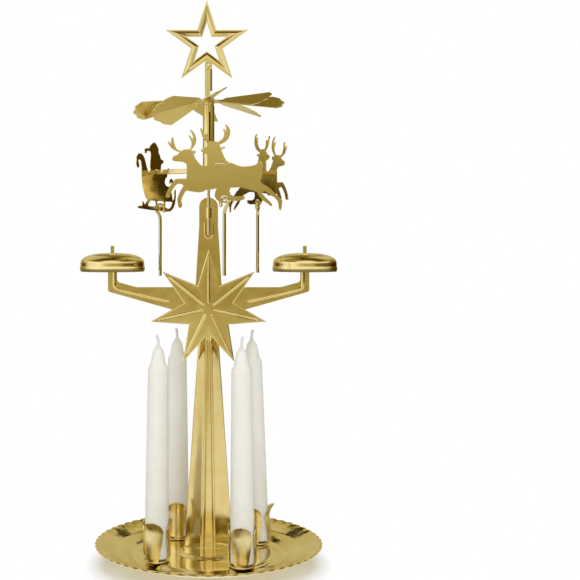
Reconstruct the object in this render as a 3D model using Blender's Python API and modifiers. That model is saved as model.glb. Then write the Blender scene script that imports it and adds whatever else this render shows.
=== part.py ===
"""Candle carousel: a brass tray with four candles, a post with two bells, and a rotor on a needle.

Units are metres, +Z is up, and the rotor turns about the Z axis. The front of the object, where
the seven-point star is, looks along -Y. The tray's foot stands on z = 0.
"""

import math

import bmesh
import bpy
from mathutils import Matrix, Vector

# Sheet metal and fits shared by several pieces
SHEET = 0.0005
VANE_SHEET = 0.0004
SEAT_GAP = 0.0003
CUT_OVERRUN = 0.001
MERGE = 0.00001
BEAD_SINK_SHARE = 0.12

# Tray
TRAY_RADIUS = 0.0625
TRAY_SHEET = 0.0006
TRAY_FLOOR_HEIGHT = 0.0018
TRAY_FLOOR_RADIUS = 0.0365
TRAY_RIM_HEIGHT = 0.0078
RIM_LIP_WIDTH = 0.0014
RIM_LIP_DROP = 0.0004
SLOPE_FOOT_RADIUS = 0.0430
SLOPE_FOOT_RISE = 0.0002
STEP_RADIUS = 0.0515
STEP_WIDTH = 0.0012
STEP_LOW_HEIGHT = 0.0036
STEP_TOP_HEIGHT = 0.0043
SCALLOP_COUNT = 60
SCALLOP_DEPTH = 0.0006
SCALLOP_CUTS = 3
FOOT_INNER_RADIUS = 0.0380
FOOT_WIDTH = 0.0032
BOSS_RADIUS = 0.0150
BOSS_HEIGHT = 0.0010
BOSS_SLOPE = 0.0010

# Post, whose top lies behind the star panel
POST_TOP_RISE = 0.0064
POST_FLAT_LENGTH = 0.0210
FLUTE_FADE_LENGTH = 0.0040
POST_TOP_HALF_WIDTH = 0.0048
FLUTE_START_HALF_WIDTH = 0.0057
POST_FOOT_HALF_WIDTH = 0.0134
FLUTE_START_OFFSET = 0.00120
FLUTE_FOOT_OFFSET = 0.0035
FLUTE_START_HALF_BREADTH = 0.00070
FLUTE_FOOT_HALF_BREADTH = 0.00125
FLUTE_START_DEPTH = 0.0008
FLUTE_FOOT_DEPTH = 0.0012
WING_START_DEPTH = 0.0028
WING_FOOT_DEPTH = 0.0050
WING_RETURN_WIDTH = 0.0009
GROOVE_DEPTH = 0.0003
POST_TAB_WIDTH = 0.0040
POST_TAB_THICKNESS = 0.0004
POST_TAB_ROOT = 0.0014
POST_TAB_END_HEIGHT = 0.0008

# Needle, whose foot stands above the top of the arms
NEEDLE_RADIUS = 0.0008
NEEDLE_FOOT_RISE = 0.0288
NEEDLE_POINT_LENGTH = 0.0024

# Cross panel, in its own plane, with its levels counted from the top of its arms
ARM_TOP_HEIGHT = 0.1473
PLATE_TOP_RISE = 0.0495
PLATE_HALF_WIDTH = 0.0052
PLATE_STRAIGHT_END_RISE = 0.0342
PLATE_SHOULDER_HALF_WIDTH = 0.0074
ARM_CORNER_DROP = 0.0027
ARM_ROOT_HALF_WIDTH = 0.0198
ARM_ROOT_DROP = 0.0125
ARM_FILLET_RADIUS = 0.0100
PLATE_FOOT_DROP = 0.0233
PLATE_FOOT_HALF_WIDTH = 0.0050
BELL_OFFSET = 0.0531
TAB_HALF_WIDTH = 0.0025
TONGUE_HALF_WIDTH = 0.0010
TONGUE_LENGTH = 0.0053
ARM_BEAD_RADIUS = 0.0011
ARM_BEAD_START = 0.0212
ARM_BEAD_START_DROP = 0.0081
ARM_BEAD_BEND_DROP = 0.0007
BRIDGE_RISE = 0.0149
BRIDGE_LENGTH = 0.0060
BRIDGE_WALL = 0.0005
SEAT_BEAD_RADIUS = 0.0006
SEAT_RISE = 0.0071
SEAT_HALF_WIDTH = 0.0021

# Bells
BELL_RADIUS = 0.0180
BELL_WALL = 0.0006
BELL_TOP_RISE = 0.0189
BELL_DOME_HEIGHT = 0.0061
BELL_SKIRT_HEIGHT = 0.0041
BELL_LIP_HEIGHT = 0.0019
BELL_WAIST = 0.0004
BELL_HOLE_RADIUS = 0.00135
BELL_DIMPLE_RADIUS = 0.0045
BELL_DIMPLE_DEPTH = 0.0005
BELL_CURVE_POWER = 2.5
BELL_DOME_POINTS = 6

# Seven-point star panel
STAR_CENTRE_DROP = 0.0117
STAR_POINTS = 7
STAR_RADIUS = 0.0327
STAR_NOTCH_RADIUS = 0.0140
STAR_CROWN = 0.0014
STAR_BEAD_START = 0.0033
STAR_BEAD_END = 0.0286
STAR_BEAD_RADIUS = 0.0011
STAR_TOP_BEAD_RADIUS = 0.0007
STAR_LUG_WIDTH = 0.0030
STAR_LUG_THICKNESS = 0.0005
STAR_LUG_RISE = 0.0040
STAR_LUG_DROP = 0.0070
STAR_LUG_FOLD = 0.0030

# Candles and wicks
CANDLE_RADIUS = 0.00625
CANDLE_LENGTH = 0.1128
CANDLE_TIP_LENGTH = 0.0110
CANDLE_TIP_SHARES = (
    (0.20, 0.00),
    (0.34, 0.09),
    (0.51, 0.24),
    (0.61, 0.58),
    (0.76, 0.78),
    (0.97, 0.97),
)
CANDLE_BOTTOM_EDGE = 0.0005
WICK_RADIUS = 0.0006
WICK_BORE_DEPTH = 0.0030
WICK_FREE_LENGTH = 0.0065
WICK_BEND = 0.0012

# Candle holders, on a circle round the post
HOLDER_CIRCLE_RADIUS = 0.0330
HOLDER_FIRST_ANGLE = math.radians(32.4)
HOLDER_NAMES = ("back_right", "back_left", "front_left", "front_right")
HOLDER_DISC_RADIUS = 0.0074
PETAL_COUNT = 3
PETAL_PHASES = (math.radians(-120), math.radians(-93), math.radians(-109), math.radians(-97))
PETAL_HEIGHT = 0.0215
PETAL_HALF_WIDTH = 0.0047
PETAL_FLARES = (0.0030, 0.0014, 0.0016, 0.0010)
PETAL_ROWS_SHARES = (
    (0.00, 0.55),
    (0.12, 0.60),
    (0.32, 0.82),
    (0.58, 1.00),
    (0.78, 0.95),
    (0.90, 0.70),
    (0.97, 0.38),
    (1.00, 0.12),
)
PETAL_COLUMN_SHARES = (-1.0, -0.5, 0.0, 0.5, 1.0)
LEAN_SHARES = (-0.030, -0.004, 0.0085, -0.003)
RIVET_RADIUS = 0.0009
RIVET_HEAD_RADIUS = 0.0020
RIVET_HEAD_HEIGHT = 0.0005

# Rotor: tube, bearing cup and collar
TUBE_RADIUS = 0.0032
TUBE_WALL = 0.0004
TUBE_RISE = 0.0369
TUBE_FLANGE_RADIUS = 0.0044
TUBE_SEAM_WIDTH = 0.0012
TUBE_SEAM_ANGLE = math.radians(-78)
CARRIER_CLEARANCE = 0.0137
CUP_PLUG_RADIUS = 0.0025
CUP_PLUG_LENGTH = 0.0040
CUP_FLANGE_RADIUS = 0.0030
CUP_FLANGE_HEIGHT = 0.0015
CUP_SPIGOT_RADIUS = 0.0021
CUP_SPIGOT_WALL = 0.0005
CUP_CONE_RADIUS = 0.0014
CUP_CONE_DEPTH = 0.0031
COLLAR_HEIGHT = 0.0013
SPIGOT_STAND = 0.0007

# Rotor: vane wheel. Each vane's droop is the one that it was bent to by hand.
VANE_COUNT = 8
VANE_FIRST_ANGLE = math.radians(3.5)
VANE_PITCH = math.radians(28)
VANE_DROOPS = tuple(math.radians(value) for value in (0.5, 4.2, 6.4, 12.0, 11.1, 10.7, 2.2, 3.1))
VANE_HUB_RADIUS = 0.0080
VANE_TWIST_END_RADIUS = 0.0105
VANE_SHOULDER_RADIUS = 0.0365
VANE_TIP_RADIUS = 0.0420
VANE_ROOT_HALF_WIDTH = 0.0021
VANE_NECK_HALF_WIDTH = 0.0027
VANE_TIP_HALF_WIDTH = 0.0086
VANE_LOBES = 3
VANE_LOBE_STEPS = 4
VANE_LOBE_DEPTH = 0.0012

# Rotor: top star with its stem
TOP_STAR_POINTS = 5
TOP_STAR_CENTRE_RISE = 0.0342
TOP_STAR_SIDE_SHIFT = -0.0010
TOP_STAR_RADIUS = 0.0239
TOP_STAR_NOTCH_RADIUS = 0.0091
TOP_STAR_BAND = 0.0038
TOP_STAR_RIDGE_WIDTH = 0.0019
TOP_STAR_RIDGE_RISE = 0.0007
TOP_STAR_TAB_HALF_WIDTH = 0.0019
TOP_STAR_TAB_DROP = 0.0144
STEM_TOP_DROP = 0.0104
STEM_NECK_LENGTH = 0.0031
STEM_LEFT = -0.0021
STEM_RIGHT = 0.0011
STEM_FLANGE_REACH = 0.0007
STEM_FLANGE_DEPTH = 0.0010
STEM_TONGUE_HALF_WIDTH = 0.0009
STAR_RIVET_DROP = 0.0124
STAR_RIVET_RADIUS = 0.0006
STAR_RIVET_HEAD_RADIUS = 0.0011
STAR_RIVET_HEAD_HEIGHT = 0.0004

# Rotor: carrier with three arms, and the flat figures that it holds
FIGURE_RADIUS = 0.0335
ARM_ANGLES = (math.radians(-80), math.radians(30), math.radians(150))
CARRIER_RING_RADIUS = 0.0062
CARRIER_ARM_HALF_WIDTH = 0.0021
CARRIER_FLANGE_HEIGHT = 0.0024
CARRIER_EDGE = 0.0001
TONGUE_REACH = 0.0004
TONGUE_FOLD = 0.0020
FIGURE_FOOT_DROP = 0.0210
PAIR_HEIGHT = 0.04426
PAIR_GRID = 85.0
PAIR_SLOT_SHARE = 55.0
PAIR_HOLE_SHARE = 59.6
PAIR_LUG_SHARE = 6.0
SLEIGH_HEIGHT = 0.0390
SLEIGH_GRID = 69.0
SLEIGH_SLOT_SHARE = 38.6
SLEIGH_HOLE_SHARE = 43.8
SLEIGH_EYE_RISE_SHARE = 2.7

# Strikers: a wire with an eye that hangs in its figure
STRIKER_WIRE_RADIUS = 0.0009
STRIKER_EYE_RADIUS = 0.0024
STRIKER_LENGTH = 0.0380
STRIKER_NECK_DROP = 0.0048
STRIKER_NECK_SIDE = 0.00045
STRIKER_TURN = math.radians(45)
EYE_START = math.radians(-60)
EYE_END = math.radians(225)
EYE_STEPS = 12
EYE_HOLE_RISE = 0.00228
EYE_HOLE_HALF_HEIGHT = 0.00140
EYE_HOLE_HALF_WIDTH = 0.00210
EYE_HOLE_CORNER = 0.0004
LUG_STRIP = 0.0010

# Outline of the reindeer pair, clockwise from the leading muzzle. Each point is in 85ths of the
# pair's height: along the pair from its leading hoof, and up from the lowest hoof.
PAIR_OUTLINE_SHARES = (
    (6.8, 50.0), (8.0, 52.0), (12.0, 53.5), (14.5, 56.2), (12.5, 56.8), (9.0, 58.2),
    (5.5, 61.0), (3.3, 64.5), (2.0, 67.5), (3.6, 66.8), (5.4, 64.2), (6.0, 69.5),
    (6.9, 72.0), (8.3, 70.5), (8.7, 66.5), (10.2, 61.5), (12.0, 58.8), (15.0, 58.2),
    (18.5, 59.0), (23.3, 59.2), (25.4, 61.5), (26.6, 64.5), (25.8, 68.5), (24.2, 71.5),
    (23.0, 73.4), (24.8, 73.0), (27.0, 70.8), (28.2, 70.6), (27.2, 74.5), (24.2, 79.0),
    (26.4, 78.6), (29.0, 76.0), (30.8, 72.0), (31.3, 68.0), (30.4, 64.5), (28.5, 61.8),
    (26.4, 58.8), (27.2, 57.8), (29.6, 58.4), (31.0, 57.0), (30.0, 55.0), (28.4, 54.2),
    (30.0, 50.5), (33.0, 46.5), (36.0, 43.4), (39.5, 42.4), (42.6, 43.6), (43.0, 50.0),
    (42.4, 54.8), (38.8, 55.4), (36.0, 57.4), (36.0, 59.8), (38.6, 60.8), (41.6, 61.8),
    (42.6, 65.0), (41.8, 66.4), (39.4, 68.8), (37.0, 72.8), (35.6, 77.5), (35.3, 81.0),
    (36.8, 80.6), (38.0, 77.0), (39.6, 73.8), (41.0, 76.6), (42.2, 76.8), (42.8, 74.0),
    (42.6, 71.0), (44.4, 67.4), (52.0, 67.2), (55.6, 68.4), (58.4, 71.0), (59.6, 74.2),
    (59.4, 77.4), (58.2, 80.2), (59.4, 80.6), (61.6, 78.4), (61.8, 81.4), (60.0, 84.6),
    (61.4, 85.0), (63.8, 83.2), (65.4, 79.4), (65.6, 75.4), (64.4, 71.4), (61.6, 68.0),
    (58.0, 65.6), (54.6, 64.2), (54.8, 63.0), (57.6, 62.4), (60.6, 62.8), (60.0, 60.8),
    (56.6, 59.2), (57.2, 57.0), (59.2, 52.8), (61.2, 49.0), (64.2, 46.6), (68.0, 46.0),
    (72.2, 44.0), (76.6, 42.8), (82.0, 42.8), (87.0, 43.4), (91.0, 44.4), (94.4, 46.8),
    (96.6, 48.6), (99.0, 47.0), (99.3, 43.0), (97.8, 39.6), (98.8, 36.0), (98.0, 31.5),
    (96.0, 28.0), (99.0, 25.2), (103.0, 23.6), (107.0, 20.2), (112.0, 15.6), (116.5, 12.0),
    (119.2, 8.6), (118.4, 5.0), (118.0, 0.0), (115.8, 0.0), (115.2, 5.4), (114.4, 8.6),
    (111.0, 12.0), (105.4, 15.6), (101.4, 18.4), (97.6, 17.0), (101.0, 12.6), (106.0, 8.2),
    (109.2, 4.2), (107.8, 2.6), (104.4, 5.4), (99.0, 9.0), (95.8, 12.6), (93.0, 17.4),
    (87.0, 19.2), (81.0, 20.8), (77.0, 22.0), (71.0, 21.6), (66.0, 21.4), (64.6, 18.0),
    (66.0, 14.4), (70.0, 12.6), (75.6, 13.0), (80.6, 13.2), (80.0, 9.8), (75.0, 8.2),
    (69.0, 8.0), (65.6, 8.4), (62.6, 6.0), (56.6, 6.0), (52.6, 8.4), (49.6, 12.4),
    (50.4, 17.4), (52.0, 20.8), (46.0, 19.2), (41.0, 19.0), (37.6, 16.8), (33.0, 16.4),
    (27.0, 17.2), (22.0, 18.0), (20.2, 17.4), (18.4, 14.0), (16.4, 10.0), (16.0, 7.0),
    (17.3, 4.0), (15.4, 0.2), (13.3, 1.4), (12.4, 6.0), (12.0, 9.6), (13.4, 14.0),
    (16.0, 19.4), (18.6, 23.4), (15.0, 25.0), (12.0, 24.6), (9.4, 22.0), (7.0, 18.4),
    (5.4, 15.0), (4.4, 11.0), (0.3, 11.0), (0.5, 14.0), (2.4, 18.4), (5.0, 23.0),
    (8.0, 27.0), (10.5, 29.8), (15.0, 30.0), (21.4, 29.8), (21.7, 36.0), (21.8, 41.0),
    (21.0, 45.0), (18.0, 46.6), (14.0, 47.0), (9.0, 47.2), (7.2, 48.4),
)

# Outline of the sleigh with its hooded driver, seen from inside the ring, clockwise from the rear
# end of the runner. Each point is in 69ths of the sleigh's height: along from the rear, and up.
SLEIGH_OUTLINE_SHARES = (
    (3.2, 4.6), (3.0, 2.6), (24.0, 1.2), (44.0, 0.6), (56.0, 0.0), (63.0, 0.6),
    (68.0, 3.6), (71.6, 8.6), (73.0, 14.6), (73.4, 20.6), (72.4, 23.2), (70.4, 22.8),
    (70.2, 17.0), (69.2, 12.0), (67.0, 11.6), (65.6, 18.0), (62.8, 22.4), (66.4, 25.0),
    (68.6, 29.0), (67.6, 32.8), (64.6, 34.4), (61.6, 32.6), (60.6, 29.0), (62.2, 28.6),
    (64.2, 31.2), (65.6, 29.0), (63.6, 26.4), (59.0, 25.4), (54.2, 26.4), (51.8, 29.6),
    (53.0, 33.4), (56.2, 35.2), (57.0, 38.6), (58.4, 40.0), (62.0, 40.8), (61.8, 43.2),
    (59.0, 44.6), (56.4, 42.4), (51.6, 39.8), (47.4, 38.6), (45.6, 40.0), (44.4, 43.4),
    (45.4, 47.6), (49.4, 49.4), (50.0, 51.6), (45.0, 52.4), (42.6, 56.4), (40.0, 59.8),
    (40.6, 62.4), (38.2, 65.2), (33.6, 69.0), (29.0, 67.4), (25.8, 65.0), (24.0, 62.2),
    (18.4, 62.0), (15.0, 60.6), (15.6, 56.8), (18.6, 57.2), (19.2, 59.4), (25.0, 59.6),
    (26.4, 57.0), (25.2, 50.0), (24.8, 44.0), (26.0, 41.6), (24.6, 38.8), (21.6, 39.0),
    (18.6, 43.6), (16.4, 49.0), (14.0, 53.2), (9.6, 56.2), (4.4, 56.0), (1.0, 52.0),
    (0.2, 46.0), (2.0, 41.6), (5.2, 42.4), (5.2, 45.4), (3.6, 48.6), (5.4, 50.6),
    (8.6, 49.0), (9.6, 44.0), (10.0, 35.0), (11.4, 26.0), (14.0, 19.0), (18.0, 13.6),
    (21.2, 11.0), (17.4, 8.0), (15.6, 5.6), (12.6, 9.6), (10.8, 9.4), (11.6, 5.2),
)
SLEIGH_WINDOWS_SHARES = (
    ((25.0, 10.6), (20.0, 5.0), (35.0, 4.8), (35.0, 10.6)),
    ((37.6, 10.6), (37.6, 4.8), (50.2, 4.6), (50.2, 10.6)),
    ((52.8, 10.4), (52.8, 4.4), (58.0, 3.2), (62.0, 3.6), (65.4, 6.4), (67.0, 10.4)),
)

# Colours of the finishes
BRASS = ((0.62, 0.44, 0.14, 1.0), 0.22, 1.0)
BRASS_DARK = ((0.40, 0.27, 0.07, 1.0), 0.28, 1.0)
STEEL = ((0.55, 0.50, 0.40, 1.0), 0.30, 1.0)
WAX = ((0.90, 0.87, 0.78, 1.0), 0.45, 0.0)
COTTON = ((0.86, 0.84, 0.76, 1.0), 0.90, 0.0)

# The curve tools work on outlines in thousandths, so that small shapes fill cleanly.
CURVE_SCALE = 1000.0

# Levels and places that follow from the sizes above
PLATE_TOP_HEIGHT = ARM_TOP_HEIGHT + PLATE_TOP_RISE
PLATE_STRAIGHT_END_HEIGHT = ARM_TOP_HEIGHT + PLATE_STRAIGHT_END_RISE
PLATE_FOOT_HEIGHT = ARM_TOP_HEIGHT - PLATE_FOOT_DROP
ARM_CORNER_HEIGHT = ARM_TOP_HEIGHT - ARM_CORNER_DROP
ARM_ROOT_HEIGHT = ARM_TOP_HEIGHT - ARM_ROOT_DROP
ARM_BEAD_START_HEIGHT = ARM_TOP_HEIGHT - ARM_BEAD_START_DROP
ARM_BEAD_BEND_HEIGHT = ARM_TOP_HEIGHT - ARM_BEAD_BEND_DROP
BELL_TOP_HEIGHT = ARM_TOP_HEIGHT + BELL_TOP_RISE
STAR_CENTRE_HEIGHT = ARM_TOP_HEIGHT - STAR_CENTRE_DROP
POST_TOP_HEIGHT = STAR_CENTRE_HEIGHT + POST_TOP_RISE
POST_FLAT_END_HEIGHT = POST_TOP_HEIGHT - POST_FLAT_LENGTH
FLUTE_START_HEIGHT = POST_FLAT_END_HEIGHT - FLUTE_FADE_LENGTH
NEEDLE_FOOT_HEIGHT = ARM_TOP_HEIGHT + NEEDLE_FOOT_RISE
BRIDGE_TOP_HEIGHT = NEEDLE_FOOT_HEIGHT + BRIDGE_RISE
SEAT_TOP_HEIGHT = NEEDLE_FOOT_HEIGHT + SEAT_RISE
CARRIER_HEIGHT = PLATE_TOP_HEIGHT + CARRIER_CLEARANCE
FIGURE_FOOT_HEIGHT = CARRIER_HEIGHT - FIGURE_FOOT_DROP
TUBE_TOP_HEIGHT = CARRIER_HEIGHT + TUBE_RISE
TOP_STAR_CENTRE_HEIGHT = TUBE_TOP_HEIGHT + TOP_STAR_CENTRE_RISE
TOP_STAR_TAB_FOOT_HEIGHT = TOP_STAR_CENTRE_HEIGHT - TOP_STAR_TAB_DROP
STEM_TOP_HEIGHT = TOP_STAR_CENTRE_HEIGHT - STEM_TOP_DROP
STAR_RIVET_HEIGHT = TOP_STAR_CENTRE_HEIGHT - STAR_RIVET_DROP
PANEL_FRONT = NEEDLE_RADIUS + SEAT_GAP
PANEL_BACK = PANEL_FRONT + SHEET
PANEL_MIDDLE = (PANEL_FRONT + PANEL_BACK) / 2
STAR_FRONT = PANEL_FRONT - SEAT_GAP - SHEET
POST_FACE = PANEL_BACK + SEAT_GAP
POST_FOOT_HEIGHT = TRAY_FLOOR_HEIGHT + BOSS_HEIGHT + SEAT_GAP
BELL_DOME_BASE = BELL_TOP_HEIGHT - BELL_DOME_HEIGHT
SHOULDER_HEIGHT = BELL_TOP_HEIGHT - BELL_DIMPLE_DEPTH - BELL_WALL - SEAT_GAP
HOLDER_DISC_FOOT = TRAY_FLOOR_HEIGHT + SEAT_GAP
HOLDER_DISC_TOP = HOLDER_DISC_FOOT + SHEET
RIVET_HEAD_FOOT = HOLDER_DISC_TOP + SEAT_GAP
CANDLE_FOOT_HEIGHT = RIVET_HEAD_FOOT + RIVET_HEAD_HEIGHT + SEAT_GAP
CANDLE_TOP_HEIGHT = CANDLE_FOOT_HEIGHT + CANDLE_LENGTH
PETAL_RADIUS = CANDLE_RADIUS + SEAT_GAP + SHEET / 2
CARRIER_WEB_FOOT = CARRIER_HEIGHT + CARRIER_FLANGE_HEIGHT - SHEET
CARRIER_WEB_MIDDLE = CARRIER_WEB_FOOT + SHEET / 2
TUBE_FLANGE_TOP = CARRIER_WEB_FOOT - SEAT_GAP
TUBE_FOOT_HEIGHT = TUBE_FLANGE_TOP - TUBE_WALL
CUP_FLANGE_FOOT = TUBE_TOP_HEIGHT + SEAT_GAP
CUP_FLANGE_TOP = CUP_FLANGE_FOOT + CUP_FLANGE_HEIGHT
CUP_PLUG_FOOT = CUP_FLANGE_FOOT - CUP_PLUG_LENGTH
VANE_HUB_MIDDLE = CUP_FLANGE_TOP + SEAT_GAP + VANE_SHEET / 2
COLLAR_FOOT = VANE_HUB_MIDDLE + VANE_SHEET / 2 + SEAT_GAP
COLLAR_TOP = COLLAR_FOOT + COLLAR_HEIGHT
SPIGOT_TOP = COLLAR_TOP + SPIGOT_STAND
SPIGOT_BORE_FOOT = CUP_FLANGE_TOP
SPIGOT_BORE_RADIUS = CUP_SPIGOT_RADIUS - CUP_SPIGOT_WALL
NEEDLE_TOP_HEIGHT = CUP_PLUG_FOOT + CUP_CONE_DEPTH - SEAT_GAP
STEM_FOOT_HEIGHT = SPIGOT_BORE_FOOT + SEAT_GAP
STEM_SHOULDER_HEIGHT = SPIGOT_TOP + SEAT_GAP
STEM_WEB_FOOT_HEIGHT = STEM_SHOULDER_HEIGHT + STEM_NECK_LENGTH
PAIR_STEP = PAIR_HEIGHT / PAIR_GRID
SLEIGH_STEP = SLEIGH_HEIGHT / SLEIGH_GRID
PAIR_EYE_HEIGHT = (FIGURE_FOOT_HEIGHT + PAIR_LUG_SHARE * PAIR_STEP + LUG_STRIP
                   + EYE_HOLE_HALF_HEIGHT - EYE_HOLE_RISE)
SLEIGH_EYE_HEIGHT = FIGURE_FOOT_HEIGHT + SLEIGH_EYE_RISE_SHARE * SLEIGH_STEP


def clear_scene():
    """Remove every object that the file opened with."""
    for item in list(bpy.data.objects):
        bpy.data.objects.remove(item, do_unlink=True)


def new_collection(name):
    """Add a collection to the scene."""
    collection = bpy.data.collections.new(name)
    bpy.context.scene.collection.children.link(collection)
    return collection


clear_scene()
PARTS = new_collection("candle_carousel")
CUTTERS = new_collection("cutters")


def dress(item, look):
    """Give an object its own material."""
    colour, roughness, metallic = look
    material = bpy.data.materials.new(item.name + "_finish")
    material.use_nodes = True
    shader = material.node_tree.nodes["Principled BSDF"]
    shader.inputs["Base Color"].default_value = colour
    shader.inputs["Roughness"].default_value = roughness
    shader.inputs["Metallic"].default_value = metallic
    item.data.materials.append(material)


def add_part(name, mesh, look):
    """Add a sub-part to the model."""
    item = bpy.data.objects.new(name, mesh)
    PARTS.objects.link(item)
    dress(item, look)
    return item


def add_cutter(name, mesh):
    """Add a shape that is only joined to a part or taken away from it."""
    item = bpy.data.objects.new(name, mesh)
    CUTTERS.objects.link(item)
    item.hide_render = True
    item.display_type = "WIRE"
    return item


def combine(target, tool, operation):
    """Join a tool shape to a part, or cut it away."""
    step = target.modifiers.new(tool.name, "BOOLEAN")
    step.operation = operation
    step.solver = "EXACT"
    step.object = tool


def tidy_mesh(mesh):
    """Weld a mesh's loose caps and turn its faces outwards."""
    shape = bmesh.new()
    shape.from_mesh(mesh)
    bmesh.ops.remove_doubles(shape, verts=shape.verts, dist=MERGE / 10)
    bmesh.ops.recalc_face_normals(shape, faces=shape.faces)
    shape.to_mesh(mesh)
    shape.free()


def evaluated_mesh(item):
    """Copy an object as a plain mesh, with its curve settings and modifiers worked in."""
    bpy.context.view_layer.update()
    graph = bpy.context.evaluated_depsgraph_get()
    return bpy.data.meshes.new_from_object(item.evaluated_get(graph))


def curve_to_mesh(name, curve):
    """Turn a curve into a welded mesh in metres and remove the curve."""
    source = bpy.data.objects.new(name, curve)
    bpy.context.scene.collection.objects.link(source)
    mesh = evaluated_mesh(source)
    bpy.data.objects.remove(source, do_unlink=True)
    bpy.data.curves.remove(curve)
    tidy_scaled = bmesh.new()
    tidy_scaled.from_mesh(mesh)
    bmesh.ops.remove_doubles(tidy_scaled, verts=tidy_scaled.verts, dist=MERGE)
    bmesh.ops.recalc_face_normals(tidy_scaled, faces=tidy_scaled.faces)
    bmesh.ops.scale(tidy_scaled, vec=Vector((1, 1, 1)) / CURVE_SCALE, verts=tidy_scaled.verts)
    tidy_scaled.to_mesh(mesh)
    tidy_scaled.free()
    mesh.name = name
    return mesh


def flat_mesh(name, loops, thickness):
    """Fill an outline, with holes where loops lie inside it, as a plate centred on z = 0."""
    curve = bpy.data.curves.new(name, "CURVE")
    curve.dimensions = "2D"
    curve.fill_mode = "BOTH"
    curve.extrude = thickness / 2 * CURVE_SCALE
    for loop in loops:
        spline = curve.splines.new("POLY")
        spline.points.add(len(loop) - 1)
        for point, (x, y) in zip(spline.points, loop):
            point.co = (x * CURVE_SCALE, y * CURVE_SCALE, 0, 1)
        spline.use_cyclic_u = True
    return curve_to_mesh(name, curve)


def upright(mesh):
    """Stand a flat mesh up, so that its Y becomes world Z and its front looks along -Y."""
    mesh.transform(Matrix.Rotation(math.pi / 2, 4, "X"))
    return mesh


def wire_mesh(name, points, radius, radii_shares=None, resolution=2):
    """Sweep a round section along a run of points."""
    curve = bpy.data.curves.new(name, "CURVE")
    curve.dimensions = "3D"
    curve.bevel_depth = radius * CURVE_SCALE
    curve.bevel_resolution = resolution
    curve.use_fill_caps = True
    spline = curve.splines.new("POLY")
    spline.points.add(len(points) - 1)
    for index, (place, point) in enumerate(zip(points, spline.points)):
        point.co = (*(Vector(place) * CURVE_SCALE), 1)
        if radii_shares:
            point.radius = radii_shares[index]
    return curve_to_mesh(name, curve)


def bead_mesh(name, points, radius, buried):
    """Make a rounded bead with tapered ends along points of the XY plane, rising to +Z."""
    sunk = -radius * BEAD_SINK_SHARE
    first, second = Vector(points[0]), Vector(points[1])
    last, before = Vector(points[-1]), Vector(points[-2])
    start_way = (second - first).normalized() * radius
    end_way = (before - last).normalized() * radius
    end_shares = ((0.05, 0.40), (0.35, 0.80), (1.00, 1.00))
    places = [first + start_way * along for along, _ in end_shares]
    places += [Vector(point) for point in points[1:-1]]
    places += [last + end_way * along for along, _ in reversed(end_shares)]
    shares = [size for _, size in end_shares] + [1.0] * (len(points) - 2)
    shares += [size for _, size in reversed(end_shares)]
    mesh = wire_mesh(name, [(*place.to_2d(), sunk) for place in places], radius, shares, 1)
    shape = bmesh.new()
    shape.from_mesh(mesh)
    everything = shape.verts[:] + shape.edges[:] + shape.faces[:]
    bmesh.ops.bisect_plane(shape, geom=everything, dist=MERGE / 10, plane_co=(0, 0, -buried),
                           plane_no=(0, 0, 1), clear_inner=True)
    bmesh.ops.holes_fill(shape, edges=[edge for edge in shape.edges if edge.is_boundary], sides=0)
    bmesh.ops.recalc_face_normals(shape, faces=shape.faces)
    shape.to_mesh(mesh)
    shape.free()
    return mesh


def join_meshes(name, meshes):
    """Put several separate shapes into one mesh."""
    shape = bmesh.new()
    for mesh in meshes:
        shape.from_mesh(mesh)
    joined = bpy.data.meshes.new(name)
    shape.to_mesh(joined)
    shape.free()
    return joined


def box_mesh(name, low, high):
    """Make a box between two corners."""
    low, high = Vector(low), Vector(high)
    shape = bmesh.new()
    bmesh.ops.create_cube(shape, size=1)
    bmesh.ops.scale(shape, vec=high - low, verts=shape.verts)
    bmesh.ops.translate(shape, vec=(low + high) / 2, verts=shape.verts)
    mesh = bpy.data.meshes.new(name)
    shape.to_mesh(mesh)
    shape.free()
    return mesh


def cylinder_mesh(name, radius, low, high, sides=16):
    """Make an upright cylinder on the Z axis."""
    shape = bmesh.new()
    bmesh.ops.create_cone(shape, cap_ends=True, segments=sides, radius1=radius, radius2=radius,
                          depth=high - low)
    bmesh.ops.translate(shape, vec=(0, 0, (low + high) / 2), verts=shape.verts)
    mesh = bpy.data.meshes.new(name)
    shape.to_mesh(mesh)
    shape.free()
    return mesh


def rows_mesh(name, rows):
    """Stretch a sheet over rows of points."""
    shape = bmesh.new()
    grid = [[shape.verts.new(point) for point in row] for row in rows]
    for lower, upper in zip(grid, grid[1:]):
        for index in range(len(lower) - 1):
            shape.faces.new((lower[index], lower[index + 1], upper[index + 1], upper[index]))
    mesh = bpy.data.meshes.new(name)
    shape.to_mesh(mesh)
    shape.free()
    return mesh


def thicken(item, thickness, offset=0.0):
    """Give a sheet its thickness."""
    wall = item.modifiers.new("sheet", "SOLIDIFY")
    wall.thickness = thickness
    wall.offset = offset
    wall.use_even_offset = True


def turned_mesh(name, profile, steps, closed=False):
    """Turn a profile of (radius, height) points about the Z axis."""
    mesh = bpy.data.meshes.new(name)
    edges = [(index, index + 1) for index in range(len(profile) - 1)]
    if closed:
        edges.append((len(profile) - 1, 0))
    mesh.from_pydata([(radius, 0, height) for radius, height in profile], edges, [])
    source = bpy.data.objects.new(name, mesh)
    bpy.context.scene.collection.objects.link(source)
    screw = source.modifiers.new("turn", "SCREW")
    screw.axis = "Z"
    screw.angle = math.tau
    screw.steps = steps
    screw.render_steps = steps
    screw.use_merge_vertices = True
    screw.merge_threshold = MERGE
    screw.use_smooth_shade = True
    result = evaluated_mesh(source)
    result.name = name
    bpy.data.objects.remove(source, do_unlink=True)
    return result


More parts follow.
